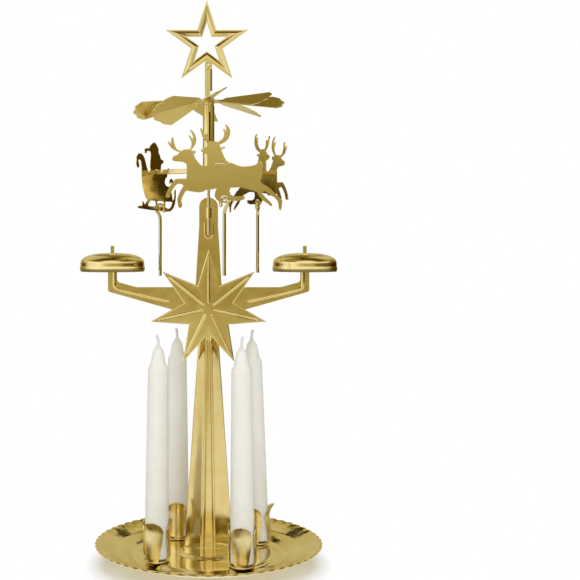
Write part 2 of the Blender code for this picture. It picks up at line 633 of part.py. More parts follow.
def star_loop(points, radius, notch_radius, inset=0.0):
    """List a star's corners with one point up, its band drawn in by an inset."""
    half = math.pi / points
    tip = Vector((radius, 0))
    notch = Vector((notch_radius * math.cos(half), notch_radius * math.sin(half)))
    edge = (notch - tip).normalized()
    tip_angle = math.atan2(edge.y, -edge.x)
    notch_angle = half + tip_angle
    tip_radius = radius - inset / math.sin(tip_angle)
    inner_radius = notch_radius - inset / math.sin(notch_angle)
    corners = []
    for index in range(2 * points):
        angle = math.pi / 2 + index * half
        reach = tip_radius if index % 2 == 0 else inner_radius
        corners.append((reach * math.cos(angle), reach * math.sin(angle)))
    return corners


def shade_round(item, angle=math.radians(35)):
    """Shade a round piece smooth, with its real edges kept sharp."""
    item.data.shade_smooth()
    item.data.set_sharp_from_angle(angle=angle)


def tray_profile():
    """List the tray's upper face from the middle outwards."""
    groove = TRAY_SHEET
    foot_outer = FOOT_INNER_RADIUS + FOOT_WIDTH
    return [
        (0, TRAY_FLOOR_HEIGHT + BOSS_HEIGHT),
        (BOSS_RADIUS - BOSS_SLOPE, TRAY_FLOOR_HEIGHT + BOSS_HEIGHT),
        (BOSS_RADIUS, TRAY_FLOOR_HEIGHT),
        (TRAY_FLOOR_RADIUS, TRAY_FLOOR_HEIGHT),
        (FOOT_INNER_RADIUS, groove),
        (foot_outer, groove),
        (SLOPE_FOOT_RADIUS, TRAY_FLOOR_HEIGHT + SLOPE_FOOT_RISE),
        (STEP_RADIUS, STEP_LOW_HEIGHT),
        (STEP_RADIUS + STEP_WIDTH, STEP_TOP_HEIGHT),
        (TRAY_RADIUS - RIM_LIP_WIDTH, TRAY_RIM_HEIGHT),
        (TRAY_RADIUS, TRAY_RIM_HEIGHT - RIM_LIP_DROP),
    ]


def scallop_rim(mesh):
    """Draw the tray's outer edge into a ring of scallops."""
    shape = bmesh.new()
    shape.from_mesh(mesh)
    rim = [edge for edge in shape.edges if edge.is_boundary]
    bmesh.ops.subdivide_edges(shape, edges=rim, cuts=SCALLOP_CUTS)
    for vert in shape.verts:
        if not vert.is_boundary:
            continue
        turn = math.atan2(vert.co.y, vert.co.x) % math.tau / math.tau * SCALLOP_COUNT
        reach = TRAY_RADIUS - SCALLOP_DEPTH * (1 - math.sin(math.pi * (turn % 1.0)))
        flat = Vector((vert.co.x, vert.co.y)).normalized() * reach
        vert.co.x, vert.co.y = flat
    bmesh.ops.triangulate(shape, faces=[face for face in shape.faces if len(face.verts) > 4])
    shape.to_mesh(mesh)
    shape.free()


def holder_angle(index):
    """Give a holder's angle round the tray."""
    return HOLDER_FIRST_ANGLE + index * math.tau / len(HOLDER_NAMES)


def holder_place(index):
    """Give a holder's centre on the tray."""
    angle = holder_angle(index)
    return Vector((math.cos(angle), math.sin(angle), 0)) * HOLDER_CIRCLE_RADIUS


def post_tab_frame(side):
    """Place one of the post's tabs: its middle in plan, and the way that its sheet runs."""
    inner = Vector((FLUTE_FOOT_OFFSET + FLUTE_FOOT_HALF_BREADTH, POST_FACE))
    outer = Vector((POST_FOOT_HALF_WIDTH - WING_RETURN_WIDTH, POST_FACE + WING_FOOT_DEPTH * 0.75))
    way = (outer - inner).normalized()
    inward = Vector((-way.y, way.x)) * SHEET / 2
    middle = (inner + outer) / 2 + inward
    turn = Matrix.Rotation(math.atan2(way.y, way.x), 4, "Z")
    frame = Matrix.Translation((middle.x, middle.y, 0)) @ turn
    if side < 0:
        frame = Matrix.Scale(-1, 4, (1, 0, 0)) @ frame
    return frame


def post_tab_mesh(name, side, spare, top):
    """Make one tab of the post, or its slot when it has spare room all round."""
    half_width = POST_TAB_WIDTH / 2 + spare
    half_depth = POST_TAB_THICKNESS / 2 + spare
    mesh = box_mesh(name, (-half_width, -half_depth, POST_TAB_END_HEIGHT - spare),
                    (half_width, half_depth, top))
    mesh.transform(post_tab_frame(side))
    tidy_mesh(mesh)
    return mesh


def make_tray():
    """Build the tray with its boss, foot bead, scallops, slots and rivet holes."""
    mesh = turned_mesh("tray", tray_profile(), SCALLOP_COUNT)
    scallop_rim(mesh)
    tray = add_part("tray", mesh, BRASS)
    thicken(tray, TRAY_SHEET, -1.0)
    openings = []
    for side in (-1, 1):
        top = TRAY_FLOOR_HEIGHT + BOSS_HEIGHT + CUT_OVERRUN
        openings.append(post_tab_mesh("tray_slot", side, SEAT_GAP, top))
    for index in range(len(HOLDER_NAMES)):
        hole = cylinder_mesh("tray_rivet_hole", RIVET_RADIUS + SEAT_GAP,
                             -CUT_OVERRUN, TRAY_FLOOR_HEIGHT + CUT_OVERRUN, 12)
        hole.transform(Matrix.Translation(holder_place(index)))
        openings.append(hole)
    combine(tray, add_cutter("tray_openings", join_meshes("tray_openings", openings)), "DIFFERENCE")
    shade_round(tray)


def post_row(height):
    """List the post's front face across one level, from left to right."""
    span = FLUTE_START_HEIGHT - POST_FOOT_HEIGHT
    down = min(max((FLUTE_START_HEIGHT - height) / span, 0.0), 1.0)

    def between(start, foot):
        return start + (foot - start) * down

    half_width = between(FLUTE_START_HALF_WIDTH, POST_FOOT_HALF_WIDTH)
    offset = between(FLUTE_START_OFFSET, FLUTE_FOOT_OFFSET)
    breadth = between(FLUTE_START_HALF_BREADTH, FLUTE_FOOT_HALF_BREADTH)
    depth = between(FLUTE_START_DEPTH, FLUTE_FOOT_DEPTH)
    wing = between(WING_START_DEPTH, WING_FOOT_DEPTH)
    groove = GROOVE_DEPTH
    if height > FLUTE_START_HEIGHT:
        half_width, depth, wing, groove = POST_TOP_HALF_WIDTH, 0.0, 0.0, 0.0
    right = [
        (offset - breadth, POST_FACE + groove / 2),
        (offset - breadth * 0.6, POST_FACE - depth * 0.8),
        (offset, POST_FACE - depth),
        (offset + breadth * 0.6, POST_FACE - depth * 0.8),
        (offset + breadth, POST_FACE),
        (half_width - WING_RETURN_WIDTH, POST_FACE + wing * 0.75),
        (half_width, POST_FACE + wing),
    ]
    left = [(-x, y) for x, y in reversed(right)]
    return [(x, y, height) for x, y in left + [(0, POST_FACE + groove)] + right]


def make_post():
    """Build the fluted post with its two tabs and the slots for the star's lugs."""
    heights = (POST_FOOT_HEIGHT, FLUTE_START_HEIGHT, POST_FLAT_END_HEIGHT, POST_TOP_HEIGHT)
    post = add_part("post", rows_mesh("post", [post_row(height) for height in heights]), BRASS)
    thicken(post, SHEET, -1.0)
    for side, word in ((-1, "left"), (1, "right")):
        name = "post_tab_" + word
        top = POST_FOOT_HEIGHT + POST_TAB_ROOT
        combine(post, add_cutter(name, post_tab_mesh(name, side, 0.0, top)), "UNION")
    slots = join_meshes("post_lug_slots", [lug_slot_mesh(place) for place in lug_heights()])
    combine(post, add_cutter("post_lug_slots", slots), "DIFFERENCE")
    shade_round(post)


def lug_heights():
    """Give the levels of the star panel's two lugs."""
    return (STAR_CENTRE_HEIGHT + STAR_LUG_RISE, STAR_CENTRE_HEIGHT - STAR_LUG_DROP)


def lug_slot_mesh(height):
    """Make the slot that one lug of the star panel passes through."""
    half_width = STAR_LUG_WIDTH / 2 + SEAT_GAP
    half_height = STAR_LUG_THICKNESS / 2 + SEAT_GAP
    back = POST_FACE + SHEET + CUT_OVERRUN
    return box_mesh("lug_slot", (-half_width, PANEL_FRONT - CUT_OVERRUN, height - half_height),
                    (half_width, back, height + half_height))


def plate_half_outline():
    """List the cross panel's right half from the top of the upper plate round to its foot."""
    arc_steps = 6
    outline = []
    for index in range(arc_steps + 1):
        angle = math.pi / 2 * (1 - index / arc_steps)
        outline.append((PLATE_HALF_WIDTH * math.cos(angle),
                        PLATE_TOP_HEIGHT - PLATE_HALF_WIDTH * (1 - math.sin(angle))))
    tab_inner = BELL_OFFSET - TAB_HALF_WIDTH
    tab_outer = BELL_OFFSET + TAB_HALF_WIDTH
    outline += [(PLATE_HALF_WIDTH, PLATE_STRAIGHT_END_HEIGHT),
                (PLATE_SHOULDER_HALF_WIDTH, ARM_TOP_HEIGHT)]
    fillet_x = tab_inner - ARM_FILLET_RADIUS
    fillet_height = ARM_TOP_HEIGHT + ARM_FILLET_RADIUS * 0.8
    for index in range(arc_steps + 1):
        angle = -math.pi / 2 + math.pi / 2 * index / arc_steps
        outline.append((fillet_x + ARM_FILLET_RADIUS * math.cos(angle),
                        fillet_height + (fillet_height - ARM_TOP_HEIGHT) * math.sin(angle)))
    corner = TAB_HALF_WIDTH / 2
    outline += [
        (tab_inner, SHOULDER_HEIGHT),
        (BELL_OFFSET - TONGUE_HALF_WIDTH, SHOULDER_HEIGHT),
        (BELL_OFFSET - TONGUE_HALF_WIDTH, SHOULDER_HEIGHT + TONGUE_LENGTH),
        (BELL_OFFSET + TONGUE_HALF_WIDTH, SHOULDER_HEIGHT + TONGUE_LENGTH),
        (BELL_OFFSET + TONGUE_HALF_WIDTH, SHOULDER_HEIGHT),
        (tab_outer, SHOULDER_HEIGHT),
        (tab_outer, ARM_CORNER_HEIGHT + corner),
        (tab_outer - corner * 0.4, ARM_CORNER_HEIGHT + corner * 0.3),
        (tab_outer - corner, ARM_CORNER_HEIGHT),
        (ARM_ROOT_HALF_WIDTH, ARM_ROOT_HEIGHT),
        (PLATE_FOOT_HALF_WIDTH * 1.4, ARM_ROOT_HEIGHT - PLATE_FOOT_HALF_WIDTH * 0.7),
        (PLATE_FOOT_HALF_WIDTH, PLATE_FOOT_HEIGHT),
    ]
    return outline


def needle_bridge_mesh():
    """Make the strap that is pushed out of the panel and holds the needle."""
    inner = NEEDLE_RADIUS + SEAT_GAP
    outer = inner + BRIDGE_WALL
    steps = 8
    outline = [(outer, PANEL_MIDDLE)]
    for index in range(steps + 1):
        angle = -math.pi * index / steps
        outline.append((outer * math.cos(angle), outer * math.sin(angle)))
    outline += [(-outer, PANEL_MIDDLE), (-inner, PANEL_MIDDLE)]
    for index in range(steps + 1):
        angle = -math.pi * (1 - index / steps)
        outline.append((inner * math.cos(angle), inner * math.sin(angle)))
    outline.append((inner, PANEL_MIDDLE))
    mesh = flat_mesh("needle_bridge", [outline], BRIDGE_LENGTH)
    mesh.transform(Matrix.Translation((0, 0, BRIDGE_TOP_HEIGHT - BRIDGE_LENGTH / 2)))
    return mesh


def panel_bead(name, points, radius):
    """Press a bead into the cross panel's front along points given as (x, height)."""
    mesh = upright(bead_mesh(name, points, radius, SHEET / 2))
    mesh.transform(Matrix.Translation((0, PANEL_FRONT, 0)))
    return mesh


def arm_bead_points(side):
    """List the bead of one arm from the star outwards and up its tab."""
    run = BELL_OFFSET - ARM_BEAD_START
    slope = (ARM_BEAD_BEND_HEIGHT - ARM_BEAD_START_HEIGHT) / run
    near = BELL_OFFSET - ARM_BEAD_RADIUS
    near_height = ARM_BEAD_BEND_HEIGHT - slope * ARM_BEAD_RADIUS
    top = BELL_DOME_BASE - BELL_SKIRT_HEIGHT + ARM_BEAD_RADIUS
    points = [
        (ARM_BEAD_START, ARM_BEAD_START_HEIGHT),
        (near, near_height),
        (BELL_OFFSET, ARM_BEAD_BEND_HEIGHT + ARM_BEAD_RADIUS),
        (BELL_OFFSET, top),
    ]
    return [(side * x, height) for x, height in points]


def make_cross_panel():
    """Build the cross panel with its beads, lug slots, needle bridge and needle seat."""
    half = plate_half_outline()
    outline = half + [(-x, height) for x, height in reversed(half[1:])]
    panel_mesh = upright(flat_mesh("cross_panel", [outline], SHEET))
    panel_mesh.transform(Matrix.Translation((0, PANEL_MIDDLE, 0)))
    panel = add_part("cross_panel", panel_mesh, BRASS)
    seat = [(-SEAT_HALF_WIDTH, SEAT_TOP_HEIGHT)]
    seat_steps = 6
    bend_height = NEEDLE_FOOT_HEIGHT + SEAT_BEAD_RADIUS / 2
    for index in range(seat_steps + 1):
        angle = math.pi + math.pi * index / seat_steps
        seat.append((SEAT_HALF_WIDTH * math.cos(angle),
                     bend_height + SEAT_HALF_WIDTH * math.sin(angle)))
    seat.append((SEAT_HALF_WIDTH, SEAT_TOP_HEIGHT))
    raised = [panel_bead("arm_bead", arm_bead_points(side), ARM_BEAD_RADIUS) for side in (-1, 1)]
    raised.append(panel_bead("needle_seat", seat, SEAT_BEAD_RADIUS))
    raised.append(needle_bridge_mesh())
    combine(panel, add_cutter("panel_beads", join_meshes("panel_beads", raised)), "UNION")
    slots = join_meshes("panel_lug_slots", [lug_slot_mesh(place) for place in lug_heights()])
    combine(panel, add_cutter("panel_lug_slots", slots), "DIFFERENCE")


def star_front(x, rise):
    """Give the star panel's front face at a place measured from its middle."""
    reach = math.hypot(x, rise)
    sector = math.tau / STAR_POINTS
    turn = (math.atan2(x, rise) % sector) - sector / 2
    slope_end = STAR_RADIUS * math.cos(sector / 2)
    share = 1 - reach * math.cos(turn) / slope_end
    return STAR_FRONT - STAR_CROWN * share


def star_bead_mesh(index):
    """Make the bead along one point of the star panel."""
    radius = STAR_TOP_BEAD_RADIUS if index == 0 else STAR_BEAD_RADIUS
    points = [(0, STAR_BEAD_START), (0, (STAR_BEAD_START + STAR_BEAD_END) / 2), (0, STAR_BEAD_END)]
    mesh = upright(bead_mesh("star_bead", points, radius, SHEET / 2))
    for vert in mesh.vertices:
        vert.co.y += STAR_FRONT - STAR_CROWN * (1 - vert.co.z / STAR_RADIUS)
    mesh.transform(Matrix.Rotation(index * math.tau / STAR_POINTS, 4, "Y"))
    return mesh


def star_lug_mesh(height, fold_way):
    """Make one lug behind the star panel, folded over behind the post."""
    rise = height - STAR_CENTRE_HEIGHT
    root = star_front(0, rise) + SHEET / 2
    end = POST_FACE + SHEET + SEAT_GAP + STAR_LUG_THICKNESS
    half = STAR_LUG_THICKNESS / 2
    outline = [(root, half), (root, -half), (end, -half), (end, STAR_LUG_FOLD),
               (end - STAR_LUG_THICKNESS, STAR_LUG_FOLD), (end - STAR_LUG_THICKNESS, half)]
    mesh = flat_mesh("star_lug", [outline], STAR_LUG_WIDTH)
    mesh.transform(Matrix(((0, 0, 1, 0), (1, 0, 0, 0), (0, fold_way, 0, 0), (0, 0, 0, 1))))
    mesh.transform(Matrix.Translation((0, 0, rise)))
    tidy_mesh(mesh)
    return mesh


def make_star_panel():
    """Build the seven-point star: seven tilted facets, a bead along each point, two lugs."""
    corners = star_loop(STAR_POINTS, STAR_RADIUS, STAR_NOTCH_RADIUS)
    shape = bmesh.new()
    middle = shape.verts.new((0, STAR_FRONT - STAR_CROWN, 0))
    ring = [shape.verts.new((x, star_front(x, rise), rise)) for x, rise in corners]
    for index in range(0, len(ring), 2):
        tip, notch = ring[index], ring[index + 1]
        shape.faces.new((middle, ring[(index + 2) % len(ring)], notch, tip))
    mesh = bpy.data.meshes.new("star_panel")
    bmesh.ops.recalc_face_normals(shape, faces=shape.faces)
    shape.faces.ensure_lookup_table()
    if shape.faces[0].normal.y > 0:
        bmesh.ops.reverse_faces(shape, faces=shape.faces)
    shape.to_mesh(mesh)
    shape.free()
    panel = add_part("star_panel", mesh, BRASS)
    panel.location = (0, 0, STAR_CENTRE_HEIGHT)
    thicken(panel, SHEET, -1.0)
    raised = [star_bead_mesh(index) for index in range(STAR_POINTS)]
    for height, fold_way in zip(lug_heights(), (1, -1)):
        raised.append(star_lug_mesh(height, fold_way))
    tool = add_cutter("star_beads", join_meshes("star_beads", raised))
    tool.location = panel.location
    combine(panel, tool, "UNION")


def make_needle():
    """Build the needle that the rotor turns on."""
    profile = [
        (0, NEEDLE_TOP_HEIGHT),
        (NEEDLE_RADIUS, NEEDLE_TOP_HEIGHT - NEEDLE_POINT_LENGTH),
        (NEEDLE_RADIUS, NEEDLE_FOOT_HEIGHT),
        (0, NEEDLE_FOOT_HEIGHT),
    ]
    add_part("needle", turned_mesh("needle", profile, 12), STEEL)


def bell_curve(radius, height, inset):
    """List a bell's dome from its hole to its shoulder, as a drawn-in copy of the outer curve."""
    reach = radius - inset
    rise = height - inset
    points = []
    start = math.asin((BELL_HOLE_RADIUS / reach) ** (BELL_CURVE_POWER / 2))
    for index in range(BELL_DOME_POINTS + 1):
        angle = start + (math.pi / 2 - start) * (index / BELL_DOME_POINTS)
        along = reach * math.sin(angle) ** (2 / BELL_CURVE_POWER)
        up = rise * max(math.cos(angle), 0.0) ** (2 / BELL_CURVE_POWER)
        if along < BELL_DIMPLE_RADIUS:
            up -= BELL_DIMPLE_DEPTH * (1 + math.cos(math.pi * along / BELL_DIMPLE_RADIUS)) / 2
        points.append((along, BELL_DOME_BASE + up))
    return points


def make_bells():
    """Turn the two bells."""
    skirt = BELL_RADIUS - BELL_WAIST
    foot = BELL_DOME_BASE - BELL_SKIRT_HEIGHT
    lip = foot + BELL_LIP_HEIGHT
    outer = bell_curve(skirt, BELL_DOME_HEIGHT, 0.0)
    inner = bell_curve(skirt, BELL_DOME_HEIGHT, BELL_WALL)
    profile = outer + [(skirt, lip + BELL_WAIST), (BELL_RADIUS, lip), (BELL_RADIUS, foot)]
    profile += [(skirt - BELL_WALL, foot)] + list(reversed(inner))
    for side, word in ((-1, "left"), (1, "right")):
        name = "bell_" + word
        bell = add_part(name, turned_mesh(name, profile, 36, closed=True), BRASS)
        bell.location = (side * BELL_OFFSET, PANEL_MIDDLE, 0)


def lean(mesh, share):
    """Lean a candle, or the petals that grip it, to the side in proportion to the height."""
    for vert in mesh.vertices:
        vert.co.x += share * max(vert.co.z - HOLDER_DISC_TOP, 0.0)


def petal_mesh(phase, flare):
    """Shape one petal as a sheet that rises round the candle and turns out at its tip."""
    rows = []
    root = (HOLDER_DISC_FOOT + HOLDER_DISC_TOP) / 2
    for height_share, width_share in PETAL_ROWS_SHARES:
        out = flare * max(height_share - 0.45, 0.0) ** 2 / 0.3
        radius = PETAL_RADIUS + out
        row = []
        for column_share in PETAL_COLUMN_SHARES:
            spread = column_share * width_share * PETAL_HALF_WIDTH / radius
            angle = phase + spread
            row.append((radius * math.cos(angle), radius * math.sin(angle),
                        root + height_share * PETAL_HEIGHT))
        rows.append(row)
    return rows_mesh("petal", rows)


def make_holder(index):
    """Build one holder: a disc with a rivet hole and three petals."""
    name = "holder_" + HOLDER_NAMES[index]
    hole_radius = RIVET_RADIUS + SEAT_GAP
    profile = [(hole_radius, HOLDER_DISC_TOP), (HOLDER_DISC_RADIUS, HOLDER_DISC_TOP),
               (HOLDER_DISC_RADIUS, HOLDER_DISC_FOOT), (hole_radius, HOLDER_DISC_FOOT)]
    holder = add_part(name, turned_mesh(name, profile, 24, closed=True), BRASS)
    holder.location = holder_place(index)
    for petal in range(PETAL_COUNT):
        phase = PETAL_PHASES[index] + petal * math.tau / PETAL_COUNT
        mesh = petal_mesh(phase, PETAL_FLARES[index])
        lean(mesh, LEAN_SHARES[index])
        tool = add_cutter(name + "_petal_" + str(petal + 1), mesh)
        tool.location = holder.location
        thicken(tool, SHEET)
        combine(holder, tool, "UNION")


def make_holder_rivet(index):
    """Build the rivet that holds one holder on the tray."""
    tail_top = TRAY_FLOOR_HEIGHT - TRAY_SHEET - SEAT_GAP
    profile = [
        (0, RIVET_HEAD_FOOT + RIVET_HEAD_HEIGHT),
        (RIVET_HEAD_RADIUS * 0.8, RIVET_HEAD_FOOT + RIVET_HEAD_HEIGHT),
        (RIVET_HEAD_RADIUS, RIVET_HEAD_FOOT + RIVET_HEAD_HEIGHT / 2),
        (RIVET_HEAD_RADIUS, RIVET_HEAD_FOOT),
        (RIVET_RADIUS, RIVET_HEAD_FOOT),
        (RIVET_RADIUS, tail_top),
        (RIVET_HEAD_RADIUS * 0.9, tail_top),
        (RIVET_HEAD_RADIUS * 0.9, tail_top - RIVET_HEAD_HEIGHT),
        (0, tail_top - RIVET_HEAD_HEIGHT),
    ]
    name = "holder_rivet_" + HOLDER_NAMES[index]
    rivet = add_part(name, turned_mesh(name, profile, 12), BRASS)
    rivet.location = holder_place(index)


def make_candle(index):
    """Build one candle with the bore for its wick, leaning as its holder does."""
    bore = WICK_RADIUS + SEAT_GAP
    bore_foot = CANDLE_TOP_HEIGHT - WICK_BORE_DEPTH
    profile = [(0, bore_foot), (bore, bore_foot)]
    for radius_share, drop_share in CANDLE_TIP_SHARES:
        profile.append((CANDLE_RADIUS * radius_share,
                        CANDLE_TOP_HEIGHT - CANDLE_TIP_LENGTH * drop_share))
    profile += [
        (CANDLE_RADIUS, CANDLE_TOP_HEIGHT - CANDLE_TIP_LENGTH * 1.1),
        (CANDLE_RADIUS, CANDLE_FOOT_HEIGHT + CANDLE_BOTTOM_EDGE),
        (CANDLE_RADIUS - CANDLE_BOTTOM_EDGE, CANDLE_FOOT_HEIGHT),
        (0, CANDLE_FOOT_HEIGHT),
    ]
    name = "candle_" + HOLDER_NAMES[index]
    mesh = turned_mesh(name, profile, 24)
    lean(mesh, LEAN_SHARES[index])
    mesh.transform(Matrix.Translation((0, 0, -CANDLE_FOOT_HEIGHT)))
    candle = add_part(name, mesh, WAX)
    candle.location = holder_place(index) + Vector((0, 0, CANDLE_FOOT_HEIGHT))
    return candle


def make_wick(index, candle):
    """Build one wick, bent a little at its tip."""
    start = CANDLE_TOP_HEIGHT - WICK_BORE_DEPTH + SEAT_GAP
    way = holder_angle(index)
    points = []
    for height_share, bend_share in ((0.0, 0.0), (0.45, 0.0), (0.7, 0.2), (0.88, 0.55), (1.0, 1.0)):
        height = start + height_share * (WICK_BORE_DEPTH + WICK_FREE_LENGTH)
        bend = WICK_BEND * bend_share
        points.append((bend * math.cos(way), bend * math.sin(way), height))
    name = "wick_" + HOLDER_NAMES[index]
    mesh = wire_mesh(name, points, WICK_RADIUS)
    lean(mesh, LEAN_SHARES[index])
    mesh.transform(Matrix.Translation((0, 0, -CANDLE_FOOT_HEIGHT)))
    wick = add_part(name, mesh, COTTON)
    wick.parent = candle


def make_rotor_tube():
    """Build the rolled tube with its flange and open seam."""
    inner = TUBE_RADIUS - TUBE_WALL
    profile = [
        (TUBE_RADIUS, TUBE_TOP_HEIGHT),
        (TUBE_RADIUS, TUBE_FLANGE_TOP),
        (TUBE_FLANGE_RADIUS, TUBE_FLANGE_TOP),
        (TUBE_FLANGE_RADIUS, TUBE_FOOT_HEIGHT),
        (inner, TUBE_FOOT_HEIGHT),
        (inner, TUBE_TOP_HEIGHT),
    ]
    tube = add_part("rotor_tube", turned_mesh("rotor_tube", profile, 24, closed=True), BRASS)
    half = TUBE_SEAM_WIDTH / 2
    seam = box_mesh("tube_seam", (CUP_PLUG_RADIUS, -half, TUBE_FOOT_HEIGHT - CUT_OVERRUN),
                    (TUBE_FLANGE_RADIUS + CUT_OVERRUN, half, TUBE_TOP_HEIGHT + CUT_OVERRUN))
    seam.transform(Matrix.Rotation(TUBE_SEAM_ANGLE, 4, "Z"))
    combine(tube, add_cutter("tube_seam", seam), "DIFFERENCE")


def make_bearing_cup():
    """Build the ferrule with the conical seat for the needle and the socket for the stem."""
    profile = [
        (0, SPIGOT_BORE_FOOT),
        (SPIGOT_BORE_RADIUS, SPIGOT_BORE_FOOT),
        (SPIGOT_BORE_RADIUS, SPIGOT_TOP),
        (CUP_SPIGOT_RADIUS, SPIGOT_TOP),
        (CUP_SPIGOT_RADIUS, CUP_FLANGE_TOP),
        (CUP_FLANGE_RADIUS, CUP_FLANGE_TOP),
        (CUP_FLANGE_RADIUS, CUP_FLANGE_FOOT),
        (CUP_PLUG_RADIUS, CUP_FLANGE_FOOT),
        (CUP_PLUG_RADIUS, CUP_PLUG_FOOT),
        (CUP_CONE_RADIUS, CUP_PLUG_FOOT),
        (0, CUP_PLUG_FOOT + CUP_CONE_DEPTH),
    ]
    add_part("bearing_cup", turned_mesh("bearing_cup", profile, 20), BRASS)


def make_hub_collar():
    """Build the collar that clamps the vane wheel on the ferrule."""
    bore = CUP_SPIGOT_RADIUS + SEAT_GAP
    profile = [
        (bore, COLLAR_TOP),
        (CUP_FLANGE_RADIUS, COLLAR_TOP),
        (CUP_FLANGE_RADIUS, COLLAR_FOOT),
        (bore, COLLAR_FOOT),
    ]
    add_part("hub_collar", turned_mesh("hub_collar", profile, 20, closed=True), BRASS)


def vane_end():
    """List a vane's scalloped end as (radius, side) points, from one side to the other."""
    steps = VANE_LOBES * VANE_LOBE_STEPS
    points = []
    for index in range(steps + 1):
        side = VANE_TIP_HALF_WIDTH * (2 * index / steps - 1)
        lobe = math.sin(math.pi * (index % VANE_LOBE_STEPS) / VANE_LOBE_STEPS)
        sweep = (VANE_TIP_RADIUS - VANE_SHOULDER_RADIUS) * (1 - (side / VANE_TIP_HALF_WIDTH) ** 2)
        points.append((VANE_SHOULDER_RADIUS + sweep * 0.8 + VANE_LOBE_DEPTH * lobe, side))
    return points


def vane_point(along, side, pitch, droop, angle):
    """Place a point of a vane that is twisted, drooped and turned round the hub."""
    point = Vector((along, side * math.cos(pitch), side * math.sin(pitch)))
    out = point.x - VANE_HUB_RADIUS
    point.x = VANE_HUB_RADIUS + out * math.cos(droop) + point.z * math.sin(droop)
    point.z = point.z * math.cos(droop) - out * math.sin(droop)
    turned = Matrix.Rotation(angle, 3, "Z") @ point
    return turned + Vector((0, 0, VANE_HUB_MIDDLE))


def make_vane_wheel():
    """Build the vane wheel: a hub washer and eight twisted vanes with scalloped ends."""
    shape = bmesh.new()
    root_turn = math.asin(VANE_ROOT_HALF_WIDTH / VANE_HUB_RADIUS)
    bore = CUP_SPIGOT_RADIUS + SEAT_GAP
    outer, inner = [], []
    for index in range(VANE_COUNT):
        angle = VANE_FIRST_ANGLE + index * math.tau / VANE_COUNT
        for turn in (-root_turn, root_turn):
            way = Vector((math.cos(angle + turn), math.sin(angle + turn), 0))
            level = Vector((0, 0, VANE_HUB_MIDDLE))
            outer.append(shape.verts.new(way * VANE_HUB_RADIUS + level))
            inner.append(shape.verts.new(way * bore + level))
        droop = VANE_DROOPS[index]
        neck_radius = (VANE_HUB_RADIUS + VANE_TWIST_END_RADIUS) / 2
        neck_half = (VANE_ROOT_HALF_WIDTH + VANE_NECK_HALF_WIDTH) / 2
        neck = [shape.verts.new(vane_point(neck_radius, side, VANE_PITCH / 2, droop, angle))
                for side in (-neck_half, neck_half)]
        start = [shape.verts.new(vane_point(VANE_TWIST_END_RADIUS, side, VANE_PITCH, droop, angle))
                 for side in (-VANE_NECK_HALF_WIDTH, VANE_NECK_HALF_WIDTH)]
        end = [shape.verts.new(vane_point(along, side, VANE_PITCH, droop, angle))
               for along, side in vane_end()]
        root = outer[-2:]
        shape.faces.new((root[0], neck[0], neck[1], root[1]))
        shape.faces.new((neck[0], start[0], start[1], neck[1]))
        shape.faces.new([start[0]] + end + [start[1]])
    for index in range(len(outer)):
        following = (index + 1) % len(outer)
        shape.faces.new((outer[index], outer[following], inner[following], inner[index]))
    bmesh.ops.recalc_face_normals(shape, faces=shape.faces)
    mesh = bpy.data.meshes.new("vane_wheel")
    shape.to_mesh(mesh)
    shape.free()
    thicken(add_part("vane_wheel", mesh, BRASS), VANE_SHEET)


def make_top_star():
    """Build the open star as a band with a ridge along its middle, and the tab below it."""
    plate_back = -SHEET / 2 - SEAT_GAP
    plate_front = plate_back - SHEET
    foot_inset = (TOP_STAR_BAND - TOP_STAR_RIDGE_WIDTH) / 2
    section = [
        (0.0, plate_back),
        (0.0, plate_front),
        (foot_inset, plate_front),
        (TOP_STAR_BAND / 2, plate_front - TOP_STAR_RIDGE_RISE),
        (TOP_STAR_BAND - foot_inset, plate_front),
        (TOP_STAR_BAND, plate_front),
        (TOP_STAR_BAND, plate_back),
    ]
    shape = bmesh.new()
    loops = []
    for inset, depth in section:
        corners = star_loop(TOP_STAR_POINTS, TOP_STAR_RADIUS, TOP_STAR_NOTCH_RADIUS, inset)
        loops.append([shape.verts.new((x, depth, rise)) for x, rise in corners])
    for index, loop in enumerate(loops):
        following = loops[(index + 1) % len(loops)]
        for corner in range(len(loop)):
            after = (corner + 1) % len(loop)
            shape.faces.new((loop[corner], loop[after], following[after], following[corner]))
    bmesh.ops.recalc_face_normals(shape, faces=shape.faces)
    mesh = bpy.data.meshes.new("top_star")
    shape.to_mesh(mesh)
    shape.free()
    star = add_part("top_star", mesh, BRASS)
    star.location = (TOP_STAR_SIDE_SHIFT, 0, TOP_STAR_CENTRE_HEIGHT)
    tab_top = TOP_STAR_CENTRE_HEIGHT - TOP_STAR_NOTCH_RADIUS + TOP_STAR_BAND / 2
    skin = SHEET / 5
    tab_mesh = box_mesh("star_tab",
                        (-TOP_STAR_TAB_HALF_WIDTH, plate_front + skin, TOP_STAR_TAB_FOOT_HEIGHT),
                        (TOP_STAR_TAB_HALF_WIDTH, plate_back - skin, tab_top))
    combine(star, add_cutter("star_tab", tab_mesh), "UNION")
    hole = rivet_hole_mesh("star_tab_hole", plate_front - CUT_OVERRUN, plate_back + CUT_OVERRUN)
    combine(star, add_cutter("star_tab_hole", hole), "DIFFERENCE")


def rivet_hole_mesh(name, front, back):
    """Make the hole for the star's rivet between two depths."""
    mesh = cylinder_mesh(name, STAR_RIVET_RADIUS + SEAT_GAP, front, back, 12)
    mesh.transform(Matrix.Rotation(-math.pi / 2, 4, "X"))
    mesh.transform(Matrix.Translation((0, 0, STAR_RIVET_HEIGHT)))
    return mesh


